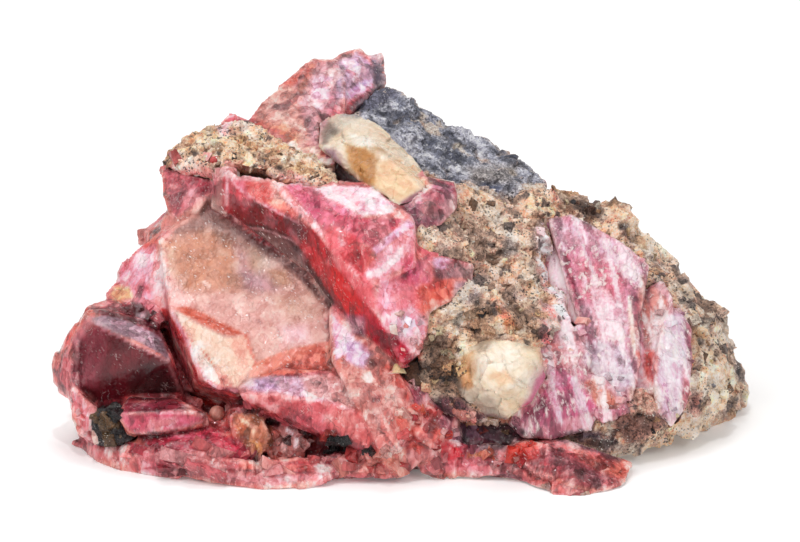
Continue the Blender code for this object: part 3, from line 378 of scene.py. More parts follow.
MAUVE = [
    zone((160, 100, 114), [(39.9, 20.2), (42.0, 19.0), (42.6, 18.0), (45.4, 18.6), (45.4, 20.8), (44.0, 22.4),
                           (41.8, 22.6)], 0.92, 0.25),
    zone((196, 138, 136), [(42.2, 19.6), (43.8, 20.6), (43.4, 22.0), (42.0, 21.8)], 0.8, 0.25),
    zone((128, 88, 92), [(43.2, 26.2), (44.6, 25.9), (47.2, 26.6), (47.0, 27.8), (44.6, 28.0), (43.6, 27.8)],
         0.9, 0.2),
    zone((196, 158, 178), [(43.4, 25.8), (44.8, 25.9), (44.6, 26.9), (43.5, 26.8)], 0.8, 0.15),
    zone((214, 106, 88), [(42.0, 28.2), (46.9, 27.8), (46.0, 29.0), (43.0, 31.2), (42.0, 31.2)], 0.85, 0.3),
    zone((226, 112, 142), [(40.0, 26.2), (42.0, 26.0), (42.6, 28.2), (41.0, 28.4)], 0.7, 0.4),
    zone((214, 140, 160), [(41.6, 26.0), (43.0, 25.6), (43.2, 28.0), (42.2, 28.2)], 0.5, 0.35),
]

LEDGE = [
    # painted reflection: the ledge's upward top, pale lavender with the light's sheen
    zone((222, 198, 208), [(23.9, 38.6), (25.2, 37.8), (26.8, 37.5), (29.8, 37.6), (33.0, 38.0), (33.0, 39.8),
                           (29.8, 39.6), (27.8, 39.2), (26.2, 39.2)], 0.95, 0.2),
    zone((200, 174, 200), [(25.4, 37.8), (27.6, 37.8), (27.8, 38.8), (25.8, 38.8)], 0.7, 0.3),
    zone((206, 162, 154), [(30.0, 37.2), (34.4, 37.4), (35.6, 39.4), (35.4, 40.6), (31.0, 39.8)], 0.85, 0.35),
    zone((216, 108, 110), [(23.9, 39.0), (26.2, 39.3), (29.8, 39.7), (33.0, 40.0), (35.4, 41.0), (39.0, 44.9),
                           (36.0, 44.5), (33.0, 42.8), (30.0, 41.1), (27.6, 41.6), (25.8, 41.0)], 0.92, 0.2),
    zone((224, 136, 128), [(33.0, 40.6), (35.4, 41.4), (38.6, 44.8), (36.0, 44.4), (33.4, 42.8)], 0.7, 0.5),
    zone((190, 60, 70), [(24.4, 39.6), (27.0, 40.4), (29.8, 40.9), (27.6, 41.6), (25.6, 40.8)], 0.6, 0.35),
    line((240, 204, 208), [(26.2, 39.2), (29.8, 39.7), (33.0, 40.0), (35.4, 41.0)], 0.2, 0.6),
    zone((220, 124, 104), [(25.3, 36.4), (28.6, 35.0), (33.0, 34.0), (33.2, 36.8), (30.0, 37.3), (26.6, 37.5),
                          (25.0, 37.7)], 0.95, 0.18),
    zone((208, 142, 128), [(35.4, 33.0), (38.0, 34.5), (40.0, 36.5), (41.2, 39.5), (41.4, 41.2), (39.6, 44.6),
                           (38.6, 44.9), (36.8, 42.4), (35.3, 39.6), (34.0, 37.0)], 0.9, 0.3),
    zone((214, 160, 150), [(35.6, 38.0), (38.0, 38.6), (38.2, 42.4), (36.6, 41.4)], 0.5, 0.8),
    zone((150, 98, 112), [(34.5, 31.3), (36.5, 31.6), (36.6, 33.6), (35.2, 33.4)], 0.85, 0.3),
    # painted highlight and sheen: a white face and a lavender face beside it, catching the light
    zone((242, 226, 234), [(33.1, 31.0), (34.0, 32.2), (35.4, 33.6), (36.0, 34.4), (33.6, 36.0),
                           (33.3, 33.6)], 0.95, 0.15),
    zone((208, 182, 204), [(34.4, 34.2), (36.0, 34.0), (37.3, 35.4), (36.5, 36.6), (34.6, 36.0)], 0.85, 0.3),
    zone((192, 78, 64), [(37.8, 35.8), (39.4, 36.6), (39.4, 38.2), (38.2, 37.6)], 0.7, 0.35),
    zone((196, 60, 50), [(39.6, 36.8), (40.6, 37.6), (41.2, 39.6), (40.2, 40.0), (39.6, 38.4)], 0.6, 0.35),
]

WINE = [
    # the wine crystal's face: its own dark red, with painted shade where it faces down and a nearly black
    # painted shadow where it runs in under the slab
    zone((96, 18, 30), [(10.2, 32.6), (17.0, 36.0), (18.0, 37.4), (19.0, 39.6), (12.6, 40.2), (9.6, 40.6),
                         (7.2, 38.0), (8.0, 34.0)], 0.95, 0.2),
    zone((50, 8, 14), [(13.0, 36.4), (16.6, 36.6), (19.0, 39.4), (16.0, 39.8), (13.0, 39.4)], 0.8, 0.9),
    zone((140, 40, 50), [(11.2, 34.6), (13.6, 35.0), (13.6, 37.0), (11.4, 37.2)], 0.4, 0.8),
    zone((124, 50, 60), [(7.2, 34.0), (9.6, 32.4), (10.8, 33.2), (10.6, 36.0), (9.8, 39.0), (7.6, 38.6)],
         0.85, 0.35),
    zone((160, 84, 92), [(7.6, 36.6), (9.4, 35.6), (9.6, 38.6), (8.0, 38.6)], 0.6, 0.5),
    zone((104, 36, 46), [(9.2, 30.8), (13.8, 30.2), (15.6, 31.6), (17.2, 33.8), (17.6, 36.0), (16.4, 34.2),
                         (13.4, 32.6), (10.8, 31.8)], 0.9, 0.2),
    # painted reflection: the thin bevel strip along the wine crystal's top, mauve-grey with the light's sheen
    zone((164, 140, 148), [(9.2, 31.8), (10.8, 31.5), (13.4, 32.3), (16.2, 33.7), (17.2, 36.0), (14.4, 34.4),
                           (10.8, 32.9), (9.8, 32.5)], 0.95, 0.12),
    zone((124, 42, 50), [(9.2, 30.8), (11.8, 30.1), (13.6, 30.3), (13.8, 31.9), (11.6, 31.6), (10.0, 31.4)],
         0.9, 0.2),
    zone((236, 224, 224), [(13.6, 31.4), (14.6, 31.3), (14.4, 32.0), (13.8, 32.0)], 0.8, 0.15),
    zone((224, 136, 140), [(5.8, 37.4), (6.2, 36.0), (7.2, 33.8), (7.1, 37.4), (7.9, 39.4), (9.3, 40.4),
                           (9.4, 41.4), (8.0, 42.9), (7.4, 40.0), (6.0, 38.4)], 0.9, 0.2),
    zone((240, 206, 206), [(7.6, 40.6), (8.6, 40.4), (8.6, 41.8), (7.9, 41.8)], 0.6, 0.3),
    zone((200, 130, 134), [(7.2, 34.0), (8.6, 31.9), (9.6, 31.5), (9.4, 32.4), (7.8, 34.6)], 0.8, 0.25),
    zone((236, 152, 158), [(7.6, 40.0), (9.2, 42.0), (9.8, 44.0), (8.2, 43.2)], 0.8, 0.25),
    line((214, 120, 118), [(7.2, 38.4), (8.6, 39.6), (9.6, 40.8)], 0.25, 0.7),
]

LEFT = [
    zone((230, 166, 174), [(11.8, 28.2), (13.0, 26.4), (14.2, 25.0), (15.6, 24.4), (15.8, 26.0), (14.6, 28.6),
                           (15.0, 30.2), (13.6, 30.2)], 0.9, 0.25),
    zone((246, 220, 222), [(13.2, 25.6), (15.0, 25.0), (14.6, 26.6), (13.4, 26.6)], 0.7, 0.3),
    zone((226, 196, 144), [(10.8, 29.6), (11.8, 28.5), (13.0, 28.7), (13.4, 29.8), (12.0, 30.2)], 0.85, 0.3),
]

PRISMS = [
    zone((120, 44, 58), [(12.6, 40.1), (17.8, 40.1), (19.4, 41.0), (16.2, 41.2), (12.4, 41.2)], 0.85, 0.2),
    zone((180, 92, 106), [(13.4, 40.2), (16.0, 40.2), (15.4, 41.0), (13.0, 41.0)], 0.4, 0.3),
    zone((212, 100, 122), [(12.3, 41.3), (16.2, 41.2), (19.6, 41.2), (20.4, 41.8), (19.0, 42.6), (13.6, 43.2),
                           (12.8, 42.6)], 0.92, 0.18),
    zone((232, 140, 156), [(12.4, 41.4), (15.0, 41.4), (14.6, 42.6), (13.0, 42.6)], 0.6, 0.35),
    zone((104, 30, 42), [(13.6, 43.4), (17.8, 42.8), (20.8, 42.5), (19.0, 43.4), (14.6, 44.0)], 0.85, 0.2),
    zone((176, 58, 76), [(14.6, 44.0), (21.0, 42.8), (24.2, 44.0), (24.8, 45.6), (23.0, 45.8), (17.4, 45.4),
                         (15.0, 44.6)], 0.9, 0.25),
    line((222, 134, 148), [(15.4, 44.2), (18.6, 44.6), (23.4, 45.0)], 0.22, 0.5),
    line((210, 110, 130), [(17.0, 43.6), (20.6, 43.6)], 0.2, 0.5),
    zone((200, 108, 112), [(13.6, 44.2), (17.4, 45.6), (24.2, 46.0), (24.2, 47.0), (17.0, 46.8),
                           (14.0, 45.6)], 0.85, 0.3),
    zone((220, 134, 132), [(8.5, 44.4), (12.8, 44.2), (13.6, 45.8), (14.6, 46.8), (11.0, 46.0), (9.6, 45.8)],
         0.9, 0.25),
    zone((204, 144, 146), [(14.6, 46.8), (17.4, 47.0), (23.0, 47.0), (31.0, 47.2), (31.8, 47.8), (26.6, 48.6),
                           (22.2, 48.0)], 0.8, 0.35),
    zone((186, 118, 84), [(23.2, 41.2), (25.0, 41.0), (27.0, 42.0), (28.0, 43.6), (26.2, 45.4), (25.0, 45.0),
                           (23.8, 43.2)], 0.9, 0.25),
    zone((222, 164, 98), [(25.2, 44.0), (26.4, 44.0), (26.2, 45.2), (25.4, 45.0)], 0.7, 0.3),
    zone((172, 108, 98), [(27.8, 42.4), (30.6, 43.0), (31.4, 44.0), (29.4, 45.8), (27.6, 45.6)], 0.8, 0.4),
    # painted shade: dark red in the hollow below the ledge and in the gap under the slab's foot
    zone((100, 22, 26), [(30.4, 42.8), (33.0, 43.4), (33.0, 46.0), (30.8, 45.4), (31.6, 44.4)], 0.8, 0.4),
    zone((96, 30, 34), [(19.6, 40.8), (23.6, 40.2), (26.8, 41.0), (24.0, 41.2), (21.0, 41.8)], 0.75, 0.3),
]

LOWER_EDGE = [
    zone((228, 142, 132), [(38.0, 41.2), (39.2, 40.8), (39.6, 42.4), (39.2, 44.6), (38.0, 45.0)], 0.7, 0.4),
    zone((220, 112, 98), [(39.6, 41.2), (42.0, 40.4), (43.4, 42.0), (45.0, 43.8), (44.0, 44.8), (40.8, 44.8)],
         0.9, 0.35),
    zone((206, 66, 50), [(41.2, 41.0), (43.0, 39.8), (44.2, 41.4), (43.4, 42.2), (42.0, 41.6)], 0.6, 0.4),
    zone((238, 184, 172), [(41.6, 41.4), (43.0, 41.6), (43.0, 42.8), (42.0, 42.9)], 0.8, 0.3),
    zone((232, 160, 140), [(33.7, 45.6), (36.4, 45.0), (39.4, 44.9), (40.7, 44.6), (40.7, 46.8), (38.6, 47.4),
                           (35.3, 47.3), (33.8, 47.2)], 0.85, 0.3),
    zone((190, 44, 52), [(43.4, 44.2), (44.4, 43.9), (46.2, 44.8), (46.2, 46.0), (44.4, 46.2)], 0.85, 0.3),
    zone((212, 124, 128), [(41.0, 46.6), (44.6, 46.0), (46.4, 46.0), (49.2, 45.2), (50.0, 46.6), (46.4, 46.9),
                           (44.8, 47.0), (42.0, 47.2)], 0.85, 0.3),
    zone((200, 128, 66), [(46.6, 45.1), (49.0, 45.0), (48.8, 45.6), (46.8, 45.6)], 0.7, 0.25),
    zone((204, 64, 50), [(50.2, 45.6), (52.0, 44.0), (53.6, 43.8), (53.8, 45.6), (52.0, 46.4)], 0.92, 0.25),
    zone((168, 90, 90), [(48.0, 46.6), (50.4, 46.4), (53.6, 45.8), (55.0, 44.4), (56.0, 44.8), (59.0, 46.4),
                           (62.0, 47.8), (62.0, 48.4), (60.0, 48.6), (57.8, 49.4), (55.6, 49.2), (53.6, 48.4),
                           (50.8, 47.2)], 0.9, 0.3),
    zone((124, 66, 76), [(54.4, 44.8), (57.6, 45.8), (60.8, 47.6), (59.4, 48.4), (56.2, 47.0), (54.0, 46.0)],
         0.7, 0.6),
    zone((214, 122, 112), [(51.4, 47.0), (55.0, 47.4), (57.6, 48.8), (56.0, 49.2), (53.4, 48.3)], 0.6, 0.5),
    line((226, 168, 140), [(54.0, 47.0), (57.0, 48.4), (59.6, 48.9)], 0.18, 0.6),
    zone((150, 74, 62), [(57.0, 44.6), (60.0, 45.4), (62.0, 47.0), (61.0, 47.5), (58.0, 46.0)], 0.7, 0.35),
    # painted shade: the recess below the mauve crystal, dark plum
    zone((72, 38, 48), [(42.8, 39.6), (46.0, 39.6), (47.6, 40.4), (50.4, 41.6), (52.0, 42.8), (53.6, 43.6),
                        (52.0, 44.0), (50.0, 44.8), (46.8, 44.8), (45.2, 44.0), (44.8, 42.0)], 0.9, 0.35),
    zone((110, 76, 94), [(45.2, 42.4), (47.6, 42.0), (49.4, 43.6), (47.6, 44.6), (45.6, 44.0)], 0.6, 0.5),
    zone((214, 150, 142), [(45.6, 41.0), (47.2, 40.8), (47.4, 42.0), (46.0, 42.6), (45.6, 43.6),
                           (45.0, 42.6)], 0.8, 0.2),
    zone((244, 222, 212), [(31.5, 46.4), (33.2, 46.3), (33.0, 47.8), (31.9, 47.8)], 0.7, 0.3),
]

UPPER_LEFT = [
    zone((200, 116, 122), [(16.4, 17.0), (17.2, 16.2), (19.2, 16.2), (21.8, 17.0), (21.2, 19.2), (19.4, 20.6),
                           (17.6, 22.0), (17.0, 20.6), (16.4, 18.4)], 0.9, 0.25),
    zone((150, 54, 66), [(19.6, 17.0), (21.6, 17.0), (21.2, 19.2), (19.8, 19.6), (19.0, 18.4)], 0.75, 0.4),
    zone((244, 226, 226), [(16.6, 17.0), (17.4, 16.3), (19.0, 16.2), (18.2, 17.2)], 0.8, 0.25),
    zone((226, 166, 166), [(18.0, 18.4), (19.6, 18.2), (19.8, 20.6), (18.4, 21.2)], 0.7, 0.3),
    zone((222, 158, 148), [(16.2, 23.2), (17.0, 22.0), (19.0, 21.2), (19.8, 20.0), (21.2, 19.2), (19.8, 21.4),
                           (17.6, 23.0)], 0.85, 0.25),
    zone((232, 204, 218), [(21.6, 12.8), (23.0, 11.7), (24.8, 12.2), (25.0, 12.8), (23.4, 13.6),
                           (22.0, 13.6)], 0.9, 0.2),
    zone((214, 170, 154), [(25.0, 12.0), (27.8, 8.8), (29.4, 8.6), (29.8, 10.6), (31.0, 13.6), (30.2, 15.2),
                           (28.0, 14.4), (25.4, 13.6)], 0.85, 0.4),
    zone((218, 142, 104), [(26.2, 12.6), (28.6, 12.2), (30.0, 13.6), (29.4, 14.8), (27.2, 14.0)], 0.6, 0.5),
    zone((200, 156, 158), [(29.4, 8.4), (30.4, 7.0), (31.4, 5.9), (33.6, 6.0), (34.0, 8.0), (33.4, 10.6),
                           (33.0, 11.6), (31.6, 15.2), (31.0, 13.6), (29.8, 10.6)], 0.9, 0.3),
    zone((236, 214, 222), [(31.4, 7.6), (33.2, 7.4), (33.0, 9.6), (31.8, 11.0), (30.8, 9.8)], 0.75, 0.4),
    zone((234, 206, 190), [(26.4, 10.8), (28.0, 9.4), (28.8, 10.8), (27.6, 12.2)], 0.6, 0.4),
    zone((196, 124, 98), [(29.6, 8.8), (31.0, 6.2), (31.6, 6.2), (30.6, 8.6), (30.0, 10.0)], 0.75, 0.3),
    zone((170, 82, 100), [(32.8, 9.6), (34.0, 8.0), (34.0, 10.6), (32.6, 14.4), (31.8, 14.4)], 0.5, 0.4),
    zone((196, 172, 188), [(33.6, 6.0), (35.6, 5.0), (36.6, 5.6), (37.2, 6.2), (37.6, 8.0), (35.0, 9.0),
                           (33.8, 10.6), (33.6, 8.0)], 0.9, 0.3),
    zone((246, 236, 244), [(34.2, 6.0), (35.6, 5.6), (36.0, 7.4), (34.6, 7.8)], 0.75, 0.35),
    zone((100, 98, 112), [(37.0, 5.2), (39.8, 5.8), (39.8, 9.6), (36.8, 11.0), (34.2, 13.0), (32.6, 13.4),
                          (33.4, 12.0), (35.6, 10.2), (37.4, 8.6), (37.2, 6.6)], 0.9, 0.3),
    zone((236, 230, 240), [(34.2, 9.6), (35.8, 8.2), (37.2, 7.8), (37.6, 8.8), (36.2, 9.4), (34.8, 10.2)],
         0.85, 0.3),
    zone((146, 104, 122), [(32.2, 14.6), (33.6, 15.0), (36.0, 17.8), (34.8, 18.2), (32.8, 16.4)], 0.8, 0.3),
]

QUARTZ = [
    zone((122, 106, 92), [(32.0, 13.2), (33.0, 11.8), (34.2, 13.0), (32.2, 14.8)], 0.8, 0.3),
    zone((224, 204, 180), [(32.6, 11.8), (35.0, 11.4), (37.2, 12.6), (39.0, 14.4), (37.0, 14.8),
                           (35.0, 14.4)], 0.85, 0.4),
    # painted highlight: a white spot on the honey quartz
    zone((248, 242, 234), [(35.0, 13.4), (37.2, 13.8), (37.0, 15.0), (35.4, 14.8)], 0.75, 0.4),
    zone((182, 120, 58), [(34.6, 14.4), (36.6, 14.8), (37.8, 16.0), (37.8, 18.4), (36.6, 18.6), (35.0, 17.0)],
         0.9, 0.35),
    zone((234, 194, 152), [(37.6, 16.4), (40.0, 15.8), (43.2, 18.4), (41.8, 19.0), (39.8, 20.4),
                           (37.6, 18.8)], 0.9, 0.3),
    zone((244, 222, 196), [(40.6, 17.6), (43.2, 18.6), (43.0, 19.4), (41.4, 18.8)], 0.7, 0.3),
    zone((208, 184, 154), [(33.6, 15.2), (35.0, 16.6), (36.6, 18.6), (34.2, 16.8)], 0.8, 0.25),
    zone((236, 222, 196), [(46.0, 34.0), (54.4, 34.0), (54.6, 38.0), (52.0, 41.8), (47.0, 41.0),
                           (45.6, 38.0)], 0.6, 0.4),
    # painted highlights: the cream nodule's whitest spots; then painted shade on its lower left
    zone((252, 244, 228), [(48.0, 34.6), (52.0, 34.6), (51.0, 37.0), (47.6, 37.4)], 0.7, 0.7),
    zone((252, 242, 222), [(51.8, 36.8), (54.0, 37.6), (52.8, 39.6), (50.8, 38.4)], 0.7, 0.5),
    zone((150, 132, 114), [(46.0, 39.0), (49.2, 39.8), (50.4, 41.6), (48.0, 41.2)], 0.75, 0.5),
    zone((214, 156, 104), [(46.0, 35.6), (47.2, 35.2), (47.4, 37.6), (46.8, 39.0), (46.0, 38.6)], 0.7, 0.4),
    zone((206, 150, 100), [(53.2, 34.4), (54.4, 35.4), (54.6, 37.6), (53.8, 36.4)], 0.5, 0.4),
    zone((222, 178, 136), [(48.6, 37.4), (50.4, 36.8), (51.6, 38.2), (50.0, 38.4)], 0.5, 0.3),
]

HOST = [
    zone((218, 206, 188), [(64.0, 25.0), (74.0, 33.0), (74.6, 40.0), (66.0, 44.0), (69.0, 41.0),
                           (69.2, 33.0)], 0.65, 1.0),
    zone((190, 166, 150), [(43.0, 20.0), (54.6, 19.0), (54.0, 30.0), (46.0, 28.0)], 0.5, 1.2),
    zone((148, 134, 120), [(46.6, 16.6), (52.0, 16.4), (51.4, 18.4), (47.4, 18.4)], 0.55, 0.6),
    zone((42, 50, 80), [(48.4, 18.4), (50.0, 18.6), (49.8, 19.4), (48.6, 19.2)], 0.7, 0.3),
    zone((228, 200, 172), [(52.0, 18.8), (55.2, 18.8), (55.8, 21.2), (54.4, 22.0), (52.4, 21.4)], 0.65, 0.6),
    zone((52, 42, 42), [(57.0, 20.2), (60.0, 20.2), (60.4, 21.4), (59.2, 22.8), (57.8, 22.0)], 0.7, 0.4),
    zone((40, 36, 38), [(62.0, 22.2), (63.0, 22.2), (62.9, 23.0), (62.1, 23.0)], 0.8, 0.2),
    zone((218, 148, 138), [(54.4, 17.4), (55.8, 18.8), (56.0, 20.2), (55.0, 20.0)], 0.75, 0.3),
    zone((152, 148, 158), [(45.6, 28.2), (47.4, 27.9), (48.0, 29.4), (46.4, 30.6), (45.4, 30.0)], 0.7, 0.4),
    zone((82, 88, 98), [(50.2, 22.8), (51.4, 22.8), (51.6, 25.4), (50.4, 25.6)], 0.55, 0.4),
    zone((96, 68, 46), [(46.6, 31.0), (49.4, 30.6), (50.2, 33.0), (48.6, 35.0), (46.8, 34.4)], 0.45, 0.5),
    zone((74, 54, 42), [(41.4, 37.0), (44.0, 36.8), (46.4, 37.6), (46.2, 39.6), (43.0, 39.4)], 0.75, 0.5),
    zone((96, 74, 56), [(42.6, 33.6), (45.6, 33.8), (45.8, 36.8), (42.6, 36.8)], 0.3, 0.6),
    zone((212, 144, 84), [(45.8, 37.0), (47.0, 36.4), (47.2, 38.6), (46.2, 38.6)], 0.6, 0.3),
    zone((206, 112, 88), [(49.2, 30.2), (50.4, 30.8), (51.8, 32.8), (50.4, 32.4)], 0.7, 0.3),
    zone((150, 112, 74), [(52.0, 33.2), (54.2, 33.2), (54.0, 35.2), (52.2, 34.8)], 0.4, 0.4),
    zone((76, 56, 64), [(54.8, 43.6), (58.0, 42.8), (60.4, 43.0), (62.8, 44.8), (61.8, 46.0), (59.0, 45.0)],
         0.85, 0.3),
    zone((124, 116, 134), [(57.8, 43.0), (60.0, 43.2), (60.0, 44.0), (58.2, 44.0)], 0.6, 0.3),
    # the rock's brown, darkened as painted shade where this face turns down
    zone((112, 78, 72), [(61.0, 41.4), (66.0, 41.0), (66.6, 42.0), (64.0, 44.4), (62.8, 44.8), (61.4, 43.0)],
         0.8, 0.35),
    zone((196, 134, 112), [(59.6, 42.6), (61.4, 42.4), (61.6, 43.6), (60.2, 43.6)], 0.7, 0.25),
    zone((124, 64, 62), [(67.4, 39.6), (70.0, 39.2), (70.2, 41.4), (68.0, 41.8)], 0.6, 0.5),
    zone((178, 168, 158), [(63.0, 46.2), (67.2, 44.0), (71.2, 43.0), (74.2, 41.4), (74.8, 40.4), (72.0, 41.2),
                           (67.2, 42.8), (64.0, 44.6)], 0.6, 0.5),
    zone((62, 58, 60), [(73.0, 33.4), (74.2, 35.6), (74.6, 38.4), (73.8, 38.2), (73.0, 36.0)], 0.5, 0.5),
    zone((78, 70, 72), [(62.4, 25.4), (64.0, 26.4), (65.6, 28.6), (64.6, 28.4), (63.0, 26.8)], 0.6, 0.4),
]

PANEL = [
    zone((200, 150, 156), [(54.2, 22.2), (57.0, 21.9), (61.3, 24.1), (64.6, 26.7), (66.8, 29.6), (68.4, 31.2),
                           (69.0, 34.6), (68.0, 41.6), (66.0, 41.4), (62.0, 40.6), (56.0, 42.0), (52.0, 42.6),
                           (52.4, 40.0), (54.0, 36.0)], 0.75, 0.5),
    zone((208, 136, 158), [(54.2, 22.2), (57.0, 21.9), (61.3, 24.1), (64.6, 26.7), (63.4, 30.0), (63.3, 35.0),
                           (60.4, 35.4), (56.4, 32.0), (54.2, 27.0)], 0.9, 0.25),
    zone((236, 212, 222), [(54.4, 23.2), (55.0, 22.0), (56.4, 22.8), (56.6, 25.6), (56.0, 28.4),
                           (55.0, 26.0)], 0.85, 0.35),
    zone((204, 106, 124), [(57.4, 26.0), (62.4, 26.4), (62.2, 30.4), (58.2, 30.2)], 0.8, 0.7),
    zone((252, 236, 243), [(53.6, 22.6), (55.2, 22.0), (56.0, 24.6), (56.8, 28.6), (58.2, 32.6), (56.8, 33.4),
                           (54.8, 29.4), (53.6, 26.0)], 0.85, 0.3),
    zone((236, 216, 226), [(59.2, 24.0), (61.3, 24.2), (64.4, 26.9), (63.8, 28.8), (61.6, 26.8)], 0.6, 0.5),
    zone((238, 222, 228), [(58.6, 31.8), (60.6, 31.6), (62.6, 33.4), (63.0, 35.6), (60.6, 36.4),
                           (58.8, 34.6)], 0.6, 0.6),
    zone((206, 186, 200), [(60.4, 36.0), (63.2, 36.4), (63.2, 39.0), (60.8, 38.4)], 0.6, 0.5),
    zone((240, 224, 232), [(65.6, 31.4), (66.6, 30.8), (66.4, 33.6), (65.4, 35.6), (64.8, 34.6)], 0.7, 0.3),
    zone((242, 228, 236), [(66.6, 34.2), (68.2, 33.8), (68.0, 36.8), (66.4, 37.2)], 0.6, 0.5),
    line((176, 44, 78), [(56.5, 25.4), (57.1, 28.4), (57.9, 31.8)], 0.32, 0.85),
    zone((230, 188, 204), [(55.0, 21.8), (58.0, 23.0), (60.8, 24.2), (60.2, 25.2), (56.8, 24.4)], 0.7, 0.4),
    zone((228, 180, 190), [(58.0, 30.6), (60.0, 30.4), (62.6, 33.6), (61.4, 35.2), (59.0, 33.6)], 0.7, 0.5),
    line((244, 232, 220), [(62.9, 29.8), (63.1, 32.6), (63.3, 35.6)], 0.36, 0.85),
    zone((186, 112, 102), [(64.0, 27.8), (66.8, 29.8), (66.4, 33.2), (64.8, 34.6), (63.6, 33.2),
                           (63.5, 30.4)], 0.85, 0.35),
    zone((140, 104, 98), [(64.0, 27.6), (65.2, 27.8), (64.8, 30.0), (63.8, 29.6)], 0.7, 0.35),
    zone((210, 84, 76), [(63.6, 35.2), (65.6, 35.0), (65.8, 37.2), (65.2, 38.8), (64.0, 38.2)], 0.9, 0.3),
    zone((226, 196, 216), [(66.8, 31.6), (68.4, 31.2), (68.8, 34.6), (68.0, 38.0), (67.6, 41.6), (66.0, 41.0),
                           (65.6, 37.2), (66.0, 34.0)], 0.85, 0.35),
    zone((182, 122, 152), [(66.0, 38.6), (67.8, 38.0), (67.6, 41.4), (66.4, 41.6)], 0.75, 0.4),
    zone((214, 196, 208), [(58.2, 34.0), (61.0, 34.0), (63.2, 36.0), (63.2, 38.8), (60.0, 37.6),
                           (58.4, 36.4)], 0.8, 0.4),
    zone((146, 108, 128), [(58.6, 34.6), (60.4, 34.2), (60.8, 35.6), (59.2, 35.8)], 0.55, 0.4),
    zone((208, 128, 108), [(58.2, 38.2), (59.8, 37.6), (62.0, 40.6), (60.4, 40.8), (59.6, 40.6)], 0.85, 0.3),
    zone((214, 132, 136), [(54.0, 32.8), (56.0, 34.8), (54.2, 36.4)], 0.85, 0.25),
    zone((222, 150, 150), [(54.0, 34.6), (57.4, 33.6), (57.6, 36.2), (54.4, 36.8)], 0.6, 0.4),
    zone((192, 90, 126), [(52.4, 40.4), (54.2, 37.0), (56.0, 36.9), (57.8, 38.4), (59.6, 40.8), (56.0, 42.0),
                          (53.2, 42.8), (52.0, 42.0)], 0.9, 0.3),
    zone((232, 196, 210), [(54.6, 37.4), (56.6, 37.6), (56.4, 38.6), (54.8, 38.4)], 0.5, 0.35),
    zone((236, 206, 216), [(52.2, 41.4), (53.4, 41.4), (53.4, 42.6), (52.4, 42.6)], 0.7, 0.25),
    zone((180, 50, 84), [(51.8, 40.8), (52.8, 40.0), (53.4, 41.4), (52.4, 41.8)], 0.6, 0.3),
    zone((180, 146, 126), [(62.8, 38.8), (65.8, 38.6), (66.0, 41.0), (63.2, 41.2)], 0.7, 0.35),
]

GLINTS_AND_SHADE_LINES = [
    # Painted glints: short white and pale lines where small faces catch the light
    line((255, 244, 240), [(28.8, 42.8), (29.8, 43.6), (29.6, 44.6)], 0.28, 0.85),
    line((250, 228, 216), [(28.0, 43.8), (28.6, 44.8)], 0.22, 0.7),
    line((250, 224, 212), [(30.6, 43.2), (31.0, 44.2)], 0.18, 0.7),
    line((250, 226, 200), [(24.2, 41.8), (25.6, 42.6), (25.4, 43.4)], 0.18, 0.6),
    line((252, 232, 232), [(16.6, 28.2), (17.0, 28.9)], 0.22, 0.8),
    line((250, 226, 220), [(20.4, 28.2), (21.0, 28.6)], 0.2, 0.7),
    line((250, 226, 220), [(26.6, 30.0), (27.6, 30.4)], 0.14, 0.6),
    line((250, 226, 220), [(23.4, 30.6), (24.6, 31.4)], 0.12, 0.5),
    line((255, 244, 244), [(40.2, 33.0), (41.4, 33.6)], 0.2, 0.8),
    line((250, 214, 214), [(35.0, 26.4), (35.8, 27.6)], 0.16, 0.6),
    line((246, 208, 208), [(24.2, 22.6), (26.8, 23.1), (29.4, 24.1)], 0.14, 0.55),
    line((246, 208, 208), [(22.8, 17.4), (23.8, 18.8), (26.2, 20.4), (30.0, 22.4)], 0.16, 0.55),
    line((240, 200, 200), [(13.0, 41.3), (16.2, 41.2), (19.6, 41.1)], 0.16, 0.6),
    line((236, 180, 190), [(13.6, 43.1), (17.6, 42.8), (20.2, 42.1)], 0.14, 0.5),
    line((240, 196, 196), [(10.4, 32.9), (13.6, 34.4), (17.0, 36.1)], 0.14, 0.5),
    line((224, 150, 150), [(9.0, 44.3), (13.0, 44.4), (17.0, 45.5), (24.0, 46.0)], 0.16, 0.5),
    # Painted shade: dark red lines in the gaps between the broken crystals along the lower edge
    line((110, 24, 34), [(14.6, 46.7), (20.0, 46.9), (24.6, 46.9), (31.0, 47.1)], 0.2, 0.6),
    line((120, 30, 38), [(24.8, 45.8), (28.6, 46.2), (33.4, 46.2)], 0.24, 0.6),
    line((130, 34, 40), [(33.6, 44.6), (33.8, 46.8)], 0.2, 0.6),
    line((150, 44, 48), [(40.8, 44.6), (40.9, 46.8)], 0.2, 0.6),
    line((120, 30, 38), [(43.4, 44.2), (43.6, 46.2), (46.4, 46.4), (50.2, 46.2)], 0.2, 0.6),
    line((110, 34, 36), [(37.4, 41.2), (38.2, 43.0), (39.6, 44.8)], 0.2, 0.5),
    # Painted shade: dark lines in the gaps beside the panel; then a dark line along the rock's right edge
    line((56, 50, 54), [(62.6, 23.6), (65.0, 25.8), (66.2, 27.6), (68.0, 29.6), (69.4, 31.0)], 0.5, 0.7),
    line((50, 42, 44), [(53.4, 23.0), (53.2, 26.0), (54.4, 30.4)], 0.4, 0.4),
    line((62, 54, 56), [(69.4, 32.4), (69.8, 36.0), (69.0, 41.0)], 0.4, 0.45),
    line((60, 56, 60), [(72.6, 32.6), (73.8, 35.6), (74.4, 38.8), (73.0, 41.0)], 0.5, 0.5),
    zone((222, 182, 172), [(16.4, 15.8), (20.0, 15.6), (26.0, 16.6), (32.0, 17.8), (33.0, 18.6), (28.0, 18.4),
                           (20.0, 17.6)], 0.6, 0.3),
]

FRONT_PAINT = (SLAB + BLADE + MAUVE + LEDGE + WINE + LEFT + PRISMS + LOWER_EDGE + UPPER_LEFT + QUARTZ + HOST
               + PANEL + GLINTS_AND_SHADE_LINES)

